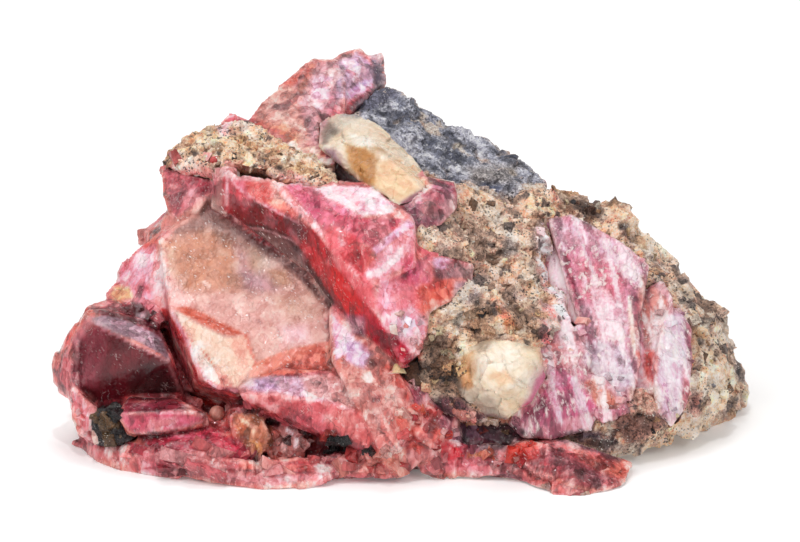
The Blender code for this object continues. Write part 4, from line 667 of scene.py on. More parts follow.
# The skins, each at about the finest mesh that its size allows
crystals = Skin("rhodonite_crystals", "crystal_skin", 0.26, 1)
crystals_back = Skin("rhodonite_crystals", "crystal_back_skin", 0.34, -1, 0.45)
host = Skin("host_rock", "host_skin", 0.2, 1, 0.4)
host_back = Skin("host_rock", "host_back_skin", 0.32, -1, 0.45)
panel = Skin("rhodonite_panel", "panel_skin", 0.17)
cap = Skin("grey_cap", "cap_skin", 0.2)
band = Skin("speckled_band", "band_skin", 0.17, growth=0.6)
honey = Skin("honey_quartz", "honey_skin", 0.16)
cream = Skin("cream_quartz", "cream_skin", 0.14)
black = Skin("black_crystals", "black_skin", 0.11)
SKINS = (crystals, crystals_back, host, host_back, panel, cap, band, honey, cream, black)
GLASSY = (crystals, crystals_back)
ROCKS = (host, host_back, band)

DEPTH_CELL = 0.3               # of the map of the front that tells which points are in view


def find_front():
    """Gives each point how far it belongs to the front: it faces the viewer and nothing is before it."""
    depth = np.full((int(DRAWING_WIDE / DEPTH_CELL), int(DRAWING_TALL / DEPTH_CELL)), -FAR)
    for skin in SKINS:
        skin.cells = (skin.across / DEPTH_CELL).astype(int), (skin.down / DEPTH_CELL).astype(int)
        np.maximum.at(depth, skin.cells, skin.out)
    nearest = depth.copy()
    for a, d in itertools.product((-1, 0, 1), repeat=2):
        nearest = np.maximum(nearest, np.roll(depth, (a, d), (0, 1)))
    for skin in SKINS:
        behind = nearest[skin.cells] - skin.out
        skin.front = ramp(skin.facing, 0.05, 0.3) * (1.0 - ramp(behind, 1.3, 2.4))


def patch_of(skin, outline, soft=0.4):
    """How far each point of the front lies within an outline of the drawing, from 0 to 1."""
    depth = inside(skin.across, skin.down, outline)
    return ramp(depth, -soft, soft) * skin.front


# Outlines on the drawing: of the largest crystal faces, of all the smooth faces together, and of
# the broken strip along the lower edge
SLAB_FACE = [(17.0, 22.0), (22.0, 19.0), (29.0, 24.0), (33.0, 31.0), (33.0, 34.0), (24.0, 39.0),
             (17.0, 31.0)]
WINE_FACE = [(7.2, 32.0), (9.4, 31.4), (17.0, 35.8), (19.2, 39.8), (9.4, 41.0)]
PRISM_FACES = [(12.0, 39.8), (20.6, 41.0), (24.8, 44.0), (24.0, 46.0), (14.0, 45.0)]
BLADE_FACES = [(21.6, 16.6), (31.0, 17.0), (41.6, 22.0), (43.8, 30.0), (41.6, 36.5), (36.0, 32.0),
               (29.0, 24.0), (22.0, 21.0)]
CALM_FACES = [(7.4, 32.0), (9.4, 31.0), (14.6, 31.0), (16.4, 23.0), (21.6, 17.0), (31.0, 17.0),
              (41.6, 22.0), (42.0, 31.0), (40.0, 35.0), (35.0, 34.0), (35.0, 40.0), (24.0, 39.0),
              (9.4, 41.0)]
BROKEN_STRIP = [(8.0, 43.6), (14.0, 44.2), (25.0, 44.0), (34.0, 44.6), (40.0, 42.0), (45.0, 43.6),
                (54.0, 44.0), (63.0, 47.0), (58.0, 50.0), (30.0, 49.0), (12.0, 47.0)]

# Shape: broken faces on the sides and the back, fine steps on the front, grains on the rock.
# These are the faces' and grains' sizes in millimetres.
BROAD_FACE = 6.5
FINE_FACE = 2.4
STEP = 0.9
ROCK_BLOCK = 2.8
ROCK_GRAIN = 1.1
ROCK_CRUMB = 0.5
CAP_GRAIN = 1.3
CAP_CRUMB = 0.45
FIBRE_STEP = 1.3
HONEY_FACE = 2.2
CREAM_FACE = 1.9
BLACK_FACE = 0.8
BAND_SCALE = 0.7               # how large the band's grains are, as part of the other rock's

find_front()

for skin in GLASSY:
    broad, skin.broad_luck = facets(skin.spots, BROAD_FACE, 3)
    fine, skin.luck = facets(skin.spots * (1.0, 1.0, 0.6), FINE_FACE, 1)
    steps = facets(skin.spots * (1.0, 0.7, 1.0), STEP, 2)[0]
    away = ramp(-skin.facing, -0.05, 0.35) * (1.0 - 0.9 * skin.front)
    strip = ramp(inside(skin.across, skin.down, BROKEN_STRIP), -0.4, 0.8)
    rough = np.maximum(away, 0.45 * strip)
    calm = 1.0 - 0.75 * patch_of(skin, CALM_FACES, 1.0) if skin is crystals else 1.0
    small_steps = (steps * (0.08 + 0.20 * rough) + fine * 0.14) * calm
    skin.move(rough * (broad * 2.2 + fine * 0.9) + small_steps + 0.05)

for skin in ROCKS:
    scale = BAND_SCALE if skin is band else 1.0
    broad = facets(skin.spots, BROAD_FACE, 10)[0] * (0.0 if skin is band else 1.4)
    blocks = facets(skin.spots, ROCK_BLOCK * scale, 4)[0]
    small, skin.luck = facets(skin.spots * (1.0, 1.0, 1.4), ROCK_GRAIN * scale, 5)
    tiny, skin.tiny_luck = facets(skin.spots, ROCK_CRUMB, 6)
    skin.move(broad + blocks * 1.1 + small * 0.5 + tiny * 0.22 + 0.15)

small, cap.luck = facets(cap.spots, CAP_GRAIN, 7)
tiny, cap.tiny_luck = facets(cap.spots, CAP_CRUMB, 8)
cap.move(small * 0.7 + tiny * 0.24 + clouds(cap.spots, 3.0, 3, 4) * 0.25 + 0.1)

FIBRE = math.radians(14.0)     # how far the panel's fibres lean from upright on the drawing
aside = panel.across * math.cos(FIBRE) - panel.down * math.sin(FIBRE)
along = panel.across * math.sin(FIBRE) + panel.down * math.cos(FIBRE)
fibre_spots = np.stack([aside, along * 0.16, panel.out * 0.3], axis=1)
steps = facets(fibre_spots, FIBRE_STEP, 9)[0]
ridges = cloud(fibre_spots, 0.35, 2)
panel.move(steps * 0.35 + ridges * 0.04 + clouds(panel.spots, 1.6, 3, 3) * 0.12 + 0.1)

honey.move(clouds(honey.spots, 3.0, 3, 1) * 0.25 + facets(honey.spots, HONEY_FACE, 3)[0] * 0.6)
faces, cream.luck = facets(cream.spots, CREAM_FACE, 6)
cream.move(faces * 0.6 + clouds(cream.spots, 2.4, 3, 2) * 0.4 + clouds(cream.spots, 0.8, 3, 5) * 0.12)
black.move(facets(black.spots, BLACK_FACE, 5)[0] * 0.3)

find_front()

# Colour all round, before the front's own patches. A row is the colours that a mineral drifts
# through.
ROSE_ROW = [(112, 40, 50), (168, 66, 76), (200, 104, 108), (206, 118, 100), (222, 156, 150), (184, 104, 116),
            (132, 70, 84)]
ROCK_ROW = [(168, 134, 112), (212, 176, 148), (238, 212, 184), (244, 230, 212), (216, 184, 160),
            (196, 182, 174), (232, 208, 184), (190, 152, 128)]
BAND_ROW = [(196, 172, 144), (224, 208, 184), (178, 148, 120), (230, 216, 196), (160, 140, 122)]
CAP_ROW = [(92, 94, 106), (138, 139, 148), (190, 188, 192), (116, 118, 130), (168, 167, 172), (84, 87, 100)]
PANEL_ROW = [(196, 104, 124), (214, 134, 150), (230, 172, 186), (204, 120, 138)]
HONEY_ROW = [(208, 174, 138), (224, 200, 170), (234, 218, 198), (188, 146, 106)]
CREAM_ROW = [(226, 208, 180), (240, 226, 204), (230, 210, 176), (206, 184, 154)]
BLACK_ROW = [(30, 26, 28), (44, 40, 42), (58, 50, 46)]
VEIN_BROWN = (70, 40, 40)
PALE_ROSE = (238, 214, 200)
DARK_LAYER = (74, 62, 58)
PALE_LAYER = (236, 222, 200)
BROWN_STAIN = (96, 78, 66)
TAN_STAIN = (150, 118, 84)
CAP_PALE_LAYER = (206, 205, 210)
CAP_DARK_LAYER = (54, 57, 70)
CAP_PALE_CRUMB = (228, 226, 226)
CAP_DARK_GRAIN = (46, 48, 60)
CAP_STAIN = (222, 202, 178)
# The rock's grains: up to which of their random numbers each colour goes
SPECKLES = ((0.06, (56, 50, 50)), (0.12, (112, 90, 76)), (0.30, (180, 150, 122)),
            (0.46, (212, 186, 156)), (0.60, (230, 214, 190)), (0.68, (164, 130, 104)),
            (0.75, (150, 148, 156)), (0.80, (212, 156, 112)), (0.90, (240, 232, 216)))
ROCK_LEAN = 40.0               # degrees by which the rock's layers slope down to the right
CAP_LEAN = 30.0
CONTACT_ACROSS = 41.0          # where the rock and the rhodonite meet behind


def pick(spots, colours, size, seed):
    """Tints that drift along a row of colours, in lumps of that size."""
    colours = np.array(colours, float)
    value = np.clip(0.5 + 0.62 * clouds(spots, size, 3, seed), 0.0, 0.999) * (len(colours) - 1)
    first = value.astype(int)
    part = (value - first)[:, None]
    return (colours[first] * (1.0 - part) + colours[first + 1] * part) / 255.0


def layers(skin, lean):
    """Noise in thin layers that slope down to the right of the drawing."""
    turn = math.radians(lean)
    along = skin.across * math.cos(turn) + skin.down * math.sin(turn)
    aside = skin.down * math.cos(turn) - skin.across * math.sin(turn)
    bend = clouds(skin.spots, 4.0, 2, 17) * 0.9
    return clouds(np.stack([along * 0.28, aside + bend, skin.out * 0.5], axis=1), 1.1, 4, 18)


for skin in GLASSY:
    skin.tint = pick(skin.spots, ROSE_ROW, 10.0, 1)
    skin.tint *= 0.84 + 0.22 * skin.broad_luck[:, :1] + 0.14 * skin.luck[:, 1:2]
    vein = 1.0 - ramp(np.abs(clouds(skin.spots, 9.0, 4, 5)), 0.0, 0.035)
    skin.blend(VEIN_BROWN, 0.7 * vein * ramp(cloud(skin.spots, 8.0, 21), -0.2, 0.3))
    skin.blend(PALE_ROSE, 0.6 * ramp(clouds(skin.spots, 4.0, 4, 6), 0.42, 0.62))

for skin in ROCKS:
    skin.tint = pick(skin.spots, BAND_ROW if skin is band else ROCK_ROW, 7.0, 2)
    layer = layers(skin, ROCK_LEAN)
    skin.blend(PALE_LAYER, 0.65 * ramp(layer, 0.12, 0.5))
    skin.blend(DARK_LAYER, 0.5 * ramp(-layer, 0.22, 0.6))
    skin.blend(BROWN_STAIN, 0.45 * ramp(clouds(skin.spots, 5.0, 4, 22), 0.25, 0.5))
    for own, weight in ((skin.luck[:, 0], 0.24), (skin.tiny_luck[:, 1], 0.2)):
        low = 0.0
        for high, colour in SPECKLES:
            skin.blend(colour, weight * ((own >= low) & (own < high)))
            low = high

# Behind, the rock and the rhodonite grow into each other, so that their border is ragged
for skin in GLASSY + ROCKS[:2]:
    ragged = CONTACT_ACROSS + 6.0 * clouds(skin.spots, 5.0, 4, 23) - skin.across
    behind = 1.0 - skin.front
    if skin in GLASSY:
        rock = pick(skin.spots, ROCK_ROW, 3.0, 2)
        reach = ramp(skin.across, CONTACT_ACROSS - 9.0, CONTACT_ACROSS - 8.0)
        skin.drift(rock, ramp(-ragged, 0.0, 0.4) * behind * reach)
        skin.drift(rock, 0.85 * ramp(clouds(skin.spots, 6.0, 4, 24), 0.16, 0.3) * behind)
    else:
        skin.drift(pick(skin.spots, ROSE_ROW, 4.0, 1), ramp(ragged, 0.0, 0.4) * behind)

cap.tint = pick(cap.spots, CAP_ROW, 4.0, 3)
cap_layer = layers(cap, CAP_LEAN)
cap.blend(CAP_PALE_LAYER, 0.65 * ramp(cap_layer, 0.12, 0.4))
cap.blend(CAP_DARK_LAYER, 0.65 * ramp(-cap_layer, 0.15, 0.5))
cap.blend(CAP_PALE_CRUMB, 0.55 * (cap.tiny_luck[:, 0] > 0.78))
cap.blend(CAP_DARK_GRAIN, 0.5 * (cap.luck[:, 1] > 0.78))
cap.blend(CAP_STAIN, 0.75 * ramp(clouds(cap.spots, 2.2, 3, 8), 0.3, 0.45))
cap_crust = 0.9 * ramp(clouds(cap.spots, 5.0, 4, 23), -0.4, -0.2) * (1.0 - cap.front)
cap.drift(pick(cap.spots, ROCK_ROW, 3.0, 2), cap_crust)

panel.tint = pick(panel.spots, PANEL_ROW, 3.0, 4)
honey.tint = pick(honey.spots, HONEY_ROW, 3.0, 5)
cream.tint = pick(cream.spots, CREAM_ROW, 2.2, 6)
black.tint = pick(black.spots, BLACK_ROW, 1.0, 7)
black.blend(TAN_STAIN, 0.6 * ramp(cloud(black.spots, 0.5, 9), 0.35, 0.6))


def paint(skin):
    """Lays the front's patches on a skin, with edges that wander a little."""
    wander = cloud(skin.spots, 1.1, 11) * 0.22 + cloud(skin.spots, 0.4, 12) * 0.12
    if skin is crystals:
        wander *= 1.0 - 0.65 * patch_of(skin, CALM_FACES, 1.0)
    for colour, outline, strength, soft, kind in FRONT_PAINT:
        corners = np.array(outline)
        low, high = corners.min(axis=0) - 1.0, corners.max(axis=0) + 1.0
        near = np.nonzero((skin.across > low[0]) & (skin.across < high[0]) & (skin.down > low[1])
                          & (skin.down < high[1]) & (skin.front > 0.02))[0]
        if len(near) == 0:
            continue
        if kind == "line":
            away = beside(skin.across[near], skin.down[near], outline) + wander[near] * 0.4
            weight = 1.0 - ramp(away, soft * 0.4, soft * 1.2)
        else:
            depth = inside(skin.across[near], skin.down[near], outline) + wander[near]
            weight = ramp(depth, -soft, soft)
        weight = weight * strength * skin.front[near]
        skin.tint[near] += (np.array(colour) / 255.0 - skin.tint[near]) * weight[:, None]


for skin in SKINS:
    if skin is not black:
        paint(skin)

# What shows through the patches: fibres and streaks on the panel, layers, grains and stains on the
# rock, pale and dark clouds in the crystals
FIBRE_WHITE = (240, 226, 232)
FIBRE_WINE = (150, 70, 96)
STREAK_WHITE = (252, 240, 244)
STREAK_WINE = (112, 40, 62)
CREAM_STAIN = (250, 234, 214)
UMBER_STAIN = (84, 62, 50)
OCHRE_STAIN = (206, 152, 104)
DARK_GRAIN = (48, 42, 44)
CLOUD_WHITE = (253, 230, 224)
CLOUD_WINE = (120, 26, 38)
RIDGE_CHIP_AND_HIGHLIGHT = (250, 214, 208)
ROCK_LIFT = (1.18, 1.11, 1.09) # how much brighter the rock is made, in red, green and blue
BAND_LIFT = (1.2, 1.13, 1.1)
CREAM_LIFT = (1.02, 1.0, 1.0)
CAP_LIFT = (1.0, 1.0, 1.03)

fibres = clouds(fibre_spots, 0.7, 3, 19)
white = ramp(fibres + 0.7 * clouds(panel.spots, 3.0, 2, 20), 0.15, 0.6)
panel.blend(FIBRE_WHITE, 0.6 * white)
panel.blend(FIBRE_WINE, 0.35 * ramp(-fibres, 0.25, 0.6))
streaks = clouds(fibre_spots, 1.0, 4, 33)
panel.blend(STREAK_WHITE, 0.6 * ramp(streaks, 0.12, 0.3))
panel.blend(STREAK_WINE, 0.5 * ramp(-streaks, 0.2, 0.42))

for skin in ROCKS:
    layer = layers(skin, ROCK_LEAN)
    skin.blend(PALE_LAYER, 0.3 * ramp(layer, 0.15, 0.5))
    skin.blend(DARK_LAYER, 0.3 * ramp(-layer, 0.25, 0.6))
    own = 0.92 + 0.16 * skin.luck[:, 1:2] + 0.08 * skin.tiny_luck[:, 2:3]
    skin.tint *= own * (BAND_LIFT if skin is band else ROCK_LIFT)
    dark = (skin.tiny_luck[:, 0] > 0.95) | (skin.luck[:, 2] > 0.955)
    skin.blend(DARK_GRAIN, 0.6 * dark)
    stain = clouds(skin.spots, 3.0, 5, 30)
    skin.blend(CREAM_STAIN, 0.6 * ramp(stain, 0.06, 0.3))
    skin.blend(UMBER_STAIN, (0.15 if skin is band else 0.45) * ramp(-stain, 0.28, 0.5))
    skin.blend(OCHRE_STAIN, 0.5 * ramp(clouds(skin.spots, 1.8, 4, 34), 0.3, 0.5))

for skin in GLASSY:
    quiet = patch_of(skin, CALM_FACES, 1.0)
    slab = patch_of(skin, SLAB_FACE)
    dark_wine = patch_of(skin, WINE_FACE, 0.8)
    skin.tint[:, 1] *= 1.0 - 0.04 * (1.0 - slab)
    clouded = clouds(skin.spots, 1.8, 4, 31)
    skin.blend(CLOUD_WHITE, (0.5 - 0.2 * quiet) * (1.0 - dark_wine) * ramp(clouded, 0.16, 0.42))
    skin.blend(CLOUD_WINE, (0.4 - 0.28 * quiet - 0.1 * slab) * ramp(-clouded, 0.25, 0.5))

cream.tint *= (0.9 + 0.12 * cream.luck[:, :1]) * CREAM_LIFT
cap.tint *= CAP_LIFT

# Painted shade: hollows and deep crevices darker, less so in red on the pink minerals; the crystals' ridges
# paler, partly chipped edges and partly painted highlight
for skin in SKINS:
    pink = skin in GLASSY or skin is panel
    hollow = skin.smooth(skin.hollow(5), 1)
    deep = skin.smooth(skin.hollow(40), 2)
    shade = 0.16 * ramp(hollow, 0.01, 0.08) + (0.15 if skin is panel else 0.5) * ramp(deep, 0.1, 0.8)
    warm = np.array((0.8, 1.0, 1.0) if pink else (1.0, 1.0, 1.0))
    skin.tint *= 1.0 - shade[:, None] * warm
    if pink:
        skin.blend(RIDGE_CHIP_AND_HIGHLIGHT, 0.4 * ramp(-hollow, 0.02, 0.07))


def linear(values, richness, depth):
    """Tints as amounts of light, by the curve of usual 8-bit pictures, a little richer and deeper."""
    values = np.clip(values, 0.0, 1.0)
    values = np.where(values <= 0.04045, values / 12.92, ((values + 0.055) / 1.055) ** 2.4)
    values = values ** depth
    grey = values.mean(axis=1, keepdims=True)
    return np.clip(grey + (values - grey) * richness, 0.0, 1.0)


def store(mesh, tint, gloss, dust, sparkle, mottle, richness=1.04, depth=1.1):
    """Puts the tint and the finish on a mesh as colour attributes."""
    ones = np.ones(len(tint))
    figures = {"tint": np.hstack([linear(tint, richness, depth), ones[:, None]]),
               "finish": np.stack([gloss * ones, dust * ones, sparkle * ones, mottle * ones], axis=1)}
    for name, values in figures.items():
        attribute = mesh.color_attributes.new(name, "FLOAT_COLOR", "POINT")
        attribute.data.foreach_set("color", values.astype(np.float32).ravel())


for skin in GLASSY:
    wine, prisms, blade, slab = (patch_of(skin, outline, 0.8)
                                 for outline in (WINE_FACE, PRISM_FACES, BLADE_FACES, SLAB_FACE))
    gloss = np.clip(0.65 + 0.35 * (wine + prisms + blade) - 0.1 * slab, 0, 1)
    dust = 0.1 + 0.15 * ramp(clouds(skin.spots, 3.0, 3, 13), 0.1, 0.5)
    sparkle = np.clip(0.3 + 0.7 * slab - 0.3 * wine, 0, 1)
    mottle = np.clip(0.85 - 0.55 * wine - 0.55 * slab - 0.1 * (blade + prisms), 0.3, 1)
    store(skin.obj.data, skin.tint, gloss, dust, sparkle, mottle)
panel_dust = 0.45 + 0.55 * ramp(clouds(panel.spots, 2.4, 3, 14), -0.3, 0.3)
store(panel.obj.data, panel.tint, 0.6, panel_dust, 0.8, 0.5, richness=1.0, depth=1.15)
for skin in (host, host_back, band, cap, honey, cream, black):
    store(skin.obj.data, skin.tint, 0.4, 0.3, 0.4, 0.5, richness=1.0, depth=1.0)


# Loose-looking grains, shards and crystals that stand on the front

FRONT_POINTS = np.concatenate([
    np.column_stack([skin.across, skin.down, skin.spots, skin.normals, skin.tint])[skin.front > 0.5]
    for skin in SKINS])


def ground(across, down):
    """The front's place in millimetres, its direction and its colour, at a point of the drawing."""
    point = FRONT_POINTS[np.argmin((FRONT_POINTS[:, 0] - across) ** 2 + (FRONT_POINTS[:, 1] - down) ** 2)]
    return Vector(point[2:5]), Vector(point[5:8]).normalized(), point[8:11]


def empty_piece(name):
    """A new piece, open for modelling."""
    obj = bpy.data.objects.new(name, bpy.data.meshes.new(name))
    bpy.context.scene.collection.objects.link(obj)
    select_only(obj)
    bpy.ops.object.mode_set(mode="EDIT")
    return obj


def scatter(name, patches, seed, finish, buried=0.15, own=0.25):
    """One piece of many shards. A patch gives its outline on the drawing, how many shards, their
    smallest and largest size in millimetres, how much longer than wide, and colours. A shard has
    one of these colours with the chance own, or else nearly the ground's. The finish gives gloss,
    dust, sparkle and mottle."""
    draw = np.random.default_rng(seed)
    obj = empty_piece(name)
    tints = []
    for outline, count, smallest, largest, longer, colours in patches:
        corners = np.array(outline)
        for _ in range(count):
            across, down = 0.0, 0.0
            while inside(np.array([across]), np.array([down]), outline)[0] < 0.0:
                across, down = draw.uniform(corners.min(axis=0), corners.max(axis=0))
            size = smallest + (largest - smallest) * draw.random() ** 2
            spot, way, colour = ground(across, down)
            turn = way.to_track_quat("Z", "Y").to_matrix().to_euler()
            turn.rotate_axis("Z", draw.uniform(-math.pi, math.pi) if longer < 1.5 else draw.uniform(1.2, 1.9))
            turn.rotate_axis("X", draw.uniform(-0.7, 0.7))
            turn.rotate_axis("Y", draw.uniform(-0.7, 0.7))
            scale = (draw.uniform(0.7, 1.2), longer * draw.uniform(0.8, 1.3), draw.uniform(0.5, 1.0))
            bpy.ops.mesh.select_all(action="DESELECT")
            bpy.ops.mesh.primitive_cube_add(size=size * MM, location=(spot - way * size * buried) * MM,
                                            rotation=turn, scale=scale)
            bpy.ops.transform.vertex_random(offset=size * MM * 0.34, uniform=0.5, seed=len(tints))
            if draw.random() < own:
                colour = np.array(colours[draw.integers(len(colours))]) / 255.0
            tints.append(colour * draw.uniform(0.84, 1.06))
    bpy.ops.mesh.select_all(action="SELECT")
    bpy.ops.mesh.bevel(offset=0.03 * MM, segments=1, affect="EDGES")
    bpy.ops.mesh.normals_make_consistent(inside=False)
    bpy.ops.object.mode_set(mode="OBJECT")
    # The shards lie in the mesh in the order in which they were made, each with as many points
    each = len(obj.data.vertices) // len(tints)
    store(obj.data, np.repeat(np.array(tints), each, axis=0), *finish)
    return obj


PINKS = [(236, 184, 176), (226, 150, 146), (214, 110, 108), (200, 84, 84), (244, 222, 214)]
REDS = [(206, 66, 52), (190, 60, 66), (224, 112, 92), (150, 40, 48), (232, 150, 130)]
PRISM_REDS = [(186, 76, 88), (206, 110, 112), (150, 44, 60), (220, 140, 140)]
FOOT_PINKS = [(222, 160, 150), (206, 136, 128)]
DARK_REDS = [(112, 30, 36), (80, 20, 26), (140, 56, 52), (176, 90, 78), (60, 30, 30)]
PANEL_PINKS = PINKS[:2] + [(150, 80, 90)]
TANS = [(206, 176, 140), (226, 204, 172), (168, 128, 94), (120, 92, 72), (190, 150, 118)]
DARKS = [(60, 48, 44), (88, 68, 54), (40, 36, 38), (112, 88, 68), (70, 64, 62)]
MIXED = TANS + [(60, 56, 58), (150, 148, 154), (236, 226, 210), (44, 42, 46)]
BLACKS = [(34, 28, 30), (20, 16, 18)]
BROWN_BLACKS = [(40, 34, 36), (24, 20, 22), (110, 84, 60)]

crystal_rubble = scatter("crystal_rubble", [
    ([(39.8, 41.0), (43.4, 40.4), (46.0, 44.0), (44.0, 45.0), (40.2, 44.8)], 30, 0.4, 1.2, 1.0, PINKS + REDS),
    ([(45.2, 40.8), (47.4, 40.8), (47.4, 42.4), (45.2, 43.6)], 12, 0.6, 1.3, 1.0, FOOT_PINKS),
    ([(33.5, 44.8), (41.0, 44.8), (41.0, 46.8), (34.0, 47.0)], 20, 0.5, 1.2, 1.4, PINKS[:4]),
    ([(43.4, 44.4), (50.0, 44.8), (50.0, 46.4), (43.4, 46.4)], 18, 0.5, 1.2, 1.2, REDS + PINKS),
    ([(9.4, 44.4), (24.0, 45.0), (30.0, 47.4), (16.0, 47.0)], 16, 0.6, 1.6, 2.6, PRISM_REDS),
    # shards in the hollow below the ledge and the gap under the slab, dark red like the painted shade there
    ([(27.6, 42.4), (33.0, 43.2), (33.0, 46.0), (28.0, 45.8)], 18, 0.5, 1.3, 1.0, DARK_REDS),
    ([(19.6, 40.6), (23.6, 40.2), (27.4, 41.2), (23.0, 42.0)], 12, 0.4, 0.9, 1.2, DARK_REDS),
    ([(7.6, 40.4), (9.6, 41.4), (9.6, 43.8), (8.4, 43.0)], 6, 0.5, 1.1, 1.0, PINKS),
    ([(38.6, 31.6), (41.4, 31.0), (42.4, 32.6), (42.4, 35.2), (40.6, 35.2)], 26, 0.35, 0.8, 1.0,
     PINKS[:2] + PINKS[4:]),
    ([(56.4, 30.8), (58.4, 31.0), (58.4, 33.6), (56.8, 33.6)], 6, 0.4, 0.8, 1.8, PINKS[:2]),
    ([(16.8, 16.0), (22.0, 15.4), (22.6, 17.2), (17.2, 17.4)], 12, 0.5, 1.1, 1.0, PINKS),
    ([(34.0, 37.0), (39.0, 36.0), (41.0, 41.0), (38.0, 43.6), (35.6, 40.0)], 14, 0.4, 1.0, 1.2, PINKS[:3]),
    ([(53.8, 33.0), (57.2, 33.4), (57.0, 37.0), (54.2, 36.8)], 14, 0.3, 0.7, 1.3, PINKS),
    ([(58.2, 37.6), (62.8, 37.0), (62.4, 41.0), (59.4, 41.0)], 10, 0.3, 0.7, 1.8, PANEL_PINKS),
    ([(65.4, 30.8), (69.2, 31.0), (68.8, 41.6), (66.0, 41.6)], 10, 0.3, 0.7, 2.2, PINKS[:2]),
    ([(13.6, 30.4), (16.2, 29.8), (16.4, 32.6), (14.6, 32.6)], 6, 0.5, 1.0, 1.0, PINKS + DARK_REDS[:2]),
    ([(50.4, 43.8), (54.0, 43.8), (54.0, 46.0), (50.4, 46.2)], 8, 0.5, 1.2, 1.2, REDS[:3]),
], 7, (0.9, 0.2, 0.6, 0.6))
rock_rubble = scatter("rock_rubble", [
    ([(42.6, 33.0), (46.2, 31.6), (47.0, 38.4), (42.4, 39.0)], 34, 0.4, 1.1, 1.0, DARKS + TANS[:2]),
    ([(40.6, 36.4), (42.6, 36.0), (43.0, 38.8), (40.8, 38.6)], 16, 0.5, 1.2, 1.0, DARKS + DARK_REDS[:3]),
    ([(70.0, 33.0), (72.6, 33.0), (74.4, 40.0), (69.4, 42.0)], 26, 0.4, 1.0, 1.0, MIXED),
    ([(63.6, 24.6), (68.0, 27.0), (72.0, 33.0), (70.0, 34.0), (66.0, 28.6)], 26, 0.4, 0.9, 1.0, MIXED),
    ([(45.6, 21.0), (54.6, 18.6), (54.0, 29.0), (50.0, 31.0), (46.6, 26.6)], 44, 0.4, 1.0, 1.0, MIXED),
    ([(56.0, 18.8), (61.0, 20.4), (63.6, 23.6), (60.0, 22.6), (56.4, 21.0)], 16, 0.4, 0.9, 1.0, MIXED),
    ([(46.2, 31.0), (53.8, 30.6), (54.0, 33.6), (47.0, 33.4)], 26, 0.4, 1.0, 1.0, DARKS + TANS),
    ([(60.0, 40.8), (68.0, 41.4), (66.0, 43.6), (61.6, 44.0)], 16, 0.4, 0.9, 1.0, DARKS + TANS),
    ([(16.8, 14.6), (22.0, 12.8), (32.8, 17.2), (31.0, 18.2), (22.0, 15.8)], 34, 0.4, 0.9, 1.0, MIXED),
    ([(47.0, 40.4), (52.0, 41.8), (50.0, 43.8), (46.6, 43.0)], 10, 0.4, 0.9, 1.0, DARK_REDS + DARKS),
], 8, (0.4, 0.3, 0.4, 0.5))


def lone(name, across, down, kind, colour, gloss, lift, rough=0.0, **settings):
    """One small crystal of its own, standing on the front: its middle is lifted off the ground, and
    its corners are moved by up to rough, both in millimetres."""
    obj = empty_piece(name)
    spot, way = ground(across, down)[:2]
    turn = way.to_track_quat("Z", "Y").to_euler()
    kind(location=(spot + way * lift) * MM, rotation=turn, **settings)
    bpy.ops.transform.vertex_random(offset=rough * MM, uniform=0.5, seed=3)
    bpy.ops.mesh.bevel(offset=0.06 * MM, segments=2, affect="EDGES")
    bpy.ops.object.mode_set(mode="OBJECT")
    store(obj.data, np.tile(np.array(colour) / 255.0, (len(obj.data.vertices), 1)), gloss, 0.2, 0.3, 0.4)
    return obj


chip = lone("cream_chip", 39.8, 36.8, bpy.ops.mesh.primitive_cone_add, (240, 214, 174), 0.8, lift=0.5,
            vertices=3, radius1=1.1 * MM, depth=1.6 * MM)
bead = lone("pale_bead", 21.8, 41.2, bpy.ops.mesh.primitive_ico_sphere_add, (196, 140, 128), 1.0, lift=0.3,
            subdivisions=3, radius=0.8 * MM)
gap_block = lone("gap_block", 41.3, 37.4, bpy.ops.mesh.primitive_ico_sphere_add, (104, 74, 58), 0.5,
                 lift=-0.5, rough=0.35, subdivisions=2, radius=1.5 * MM)
black_grains = scatter("black_grains", [
    ([(33.4, 43.6), (34.8, 43.6), (34.8, 45.0), (33.4, 45.0)], 7, 0.6, 1.1, 1.0, BLACKS),
    ([(36.2, 44.6), (37.6, 44.6), (37.6, 45.2), (36.2, 45.2)], 4, 0.5, 0.8, 1.0, BLACKS),
    ([(9.4, 40.8), (12.0, 40.8), (12.6, 43.6), (9.8, 44.0)], 12, 0.5, 1.1, 1.4, BROWN_BLACKS),
], 9, (0.9, 0.1, 0.3, 0.3), buried=0.0, own=1.0)


# Materials

GLASSY_IOR = 1.43
ROCK_IOR = 1.5
QUARTZ_IOR = 1.55
COAT_ROUGHNESS = 0.08
INNER_REACH = (1.0, 0.35, 0.3)      # how far red, green and blue light spreads inside, in millimetres
CRACK_COLOUR = (0.10, 0.01, 0.012, 1.0)
CRUST_AND_GLINT_WHITE = (0.95, 0.82, 0.80, 1.0)
SPECK_COLOUR = (0.022, 0.02, 0.024, 1.0)
CHALK_COLOUR = (0.90, 0.86, 0.79, 1.0)
SHARP_EDGE = math.radians(32.0)


def shader_node(tree, kind, inputs=(), **settings):
    """Adds a node: inputs maps socket names or numbers to values or to the sockets that feed them."""
    node = tree.nodes.new(kind)
    for name, value in settings.items():
        setattr(node, name, value)
    for name, value in dict(inputs).items():
        if isinstance(value, bpy.types.NodeSocket):
            tree.links.new(value, node.inputs[name])
        else:
            node.inputs[name].default_value = value
    return node


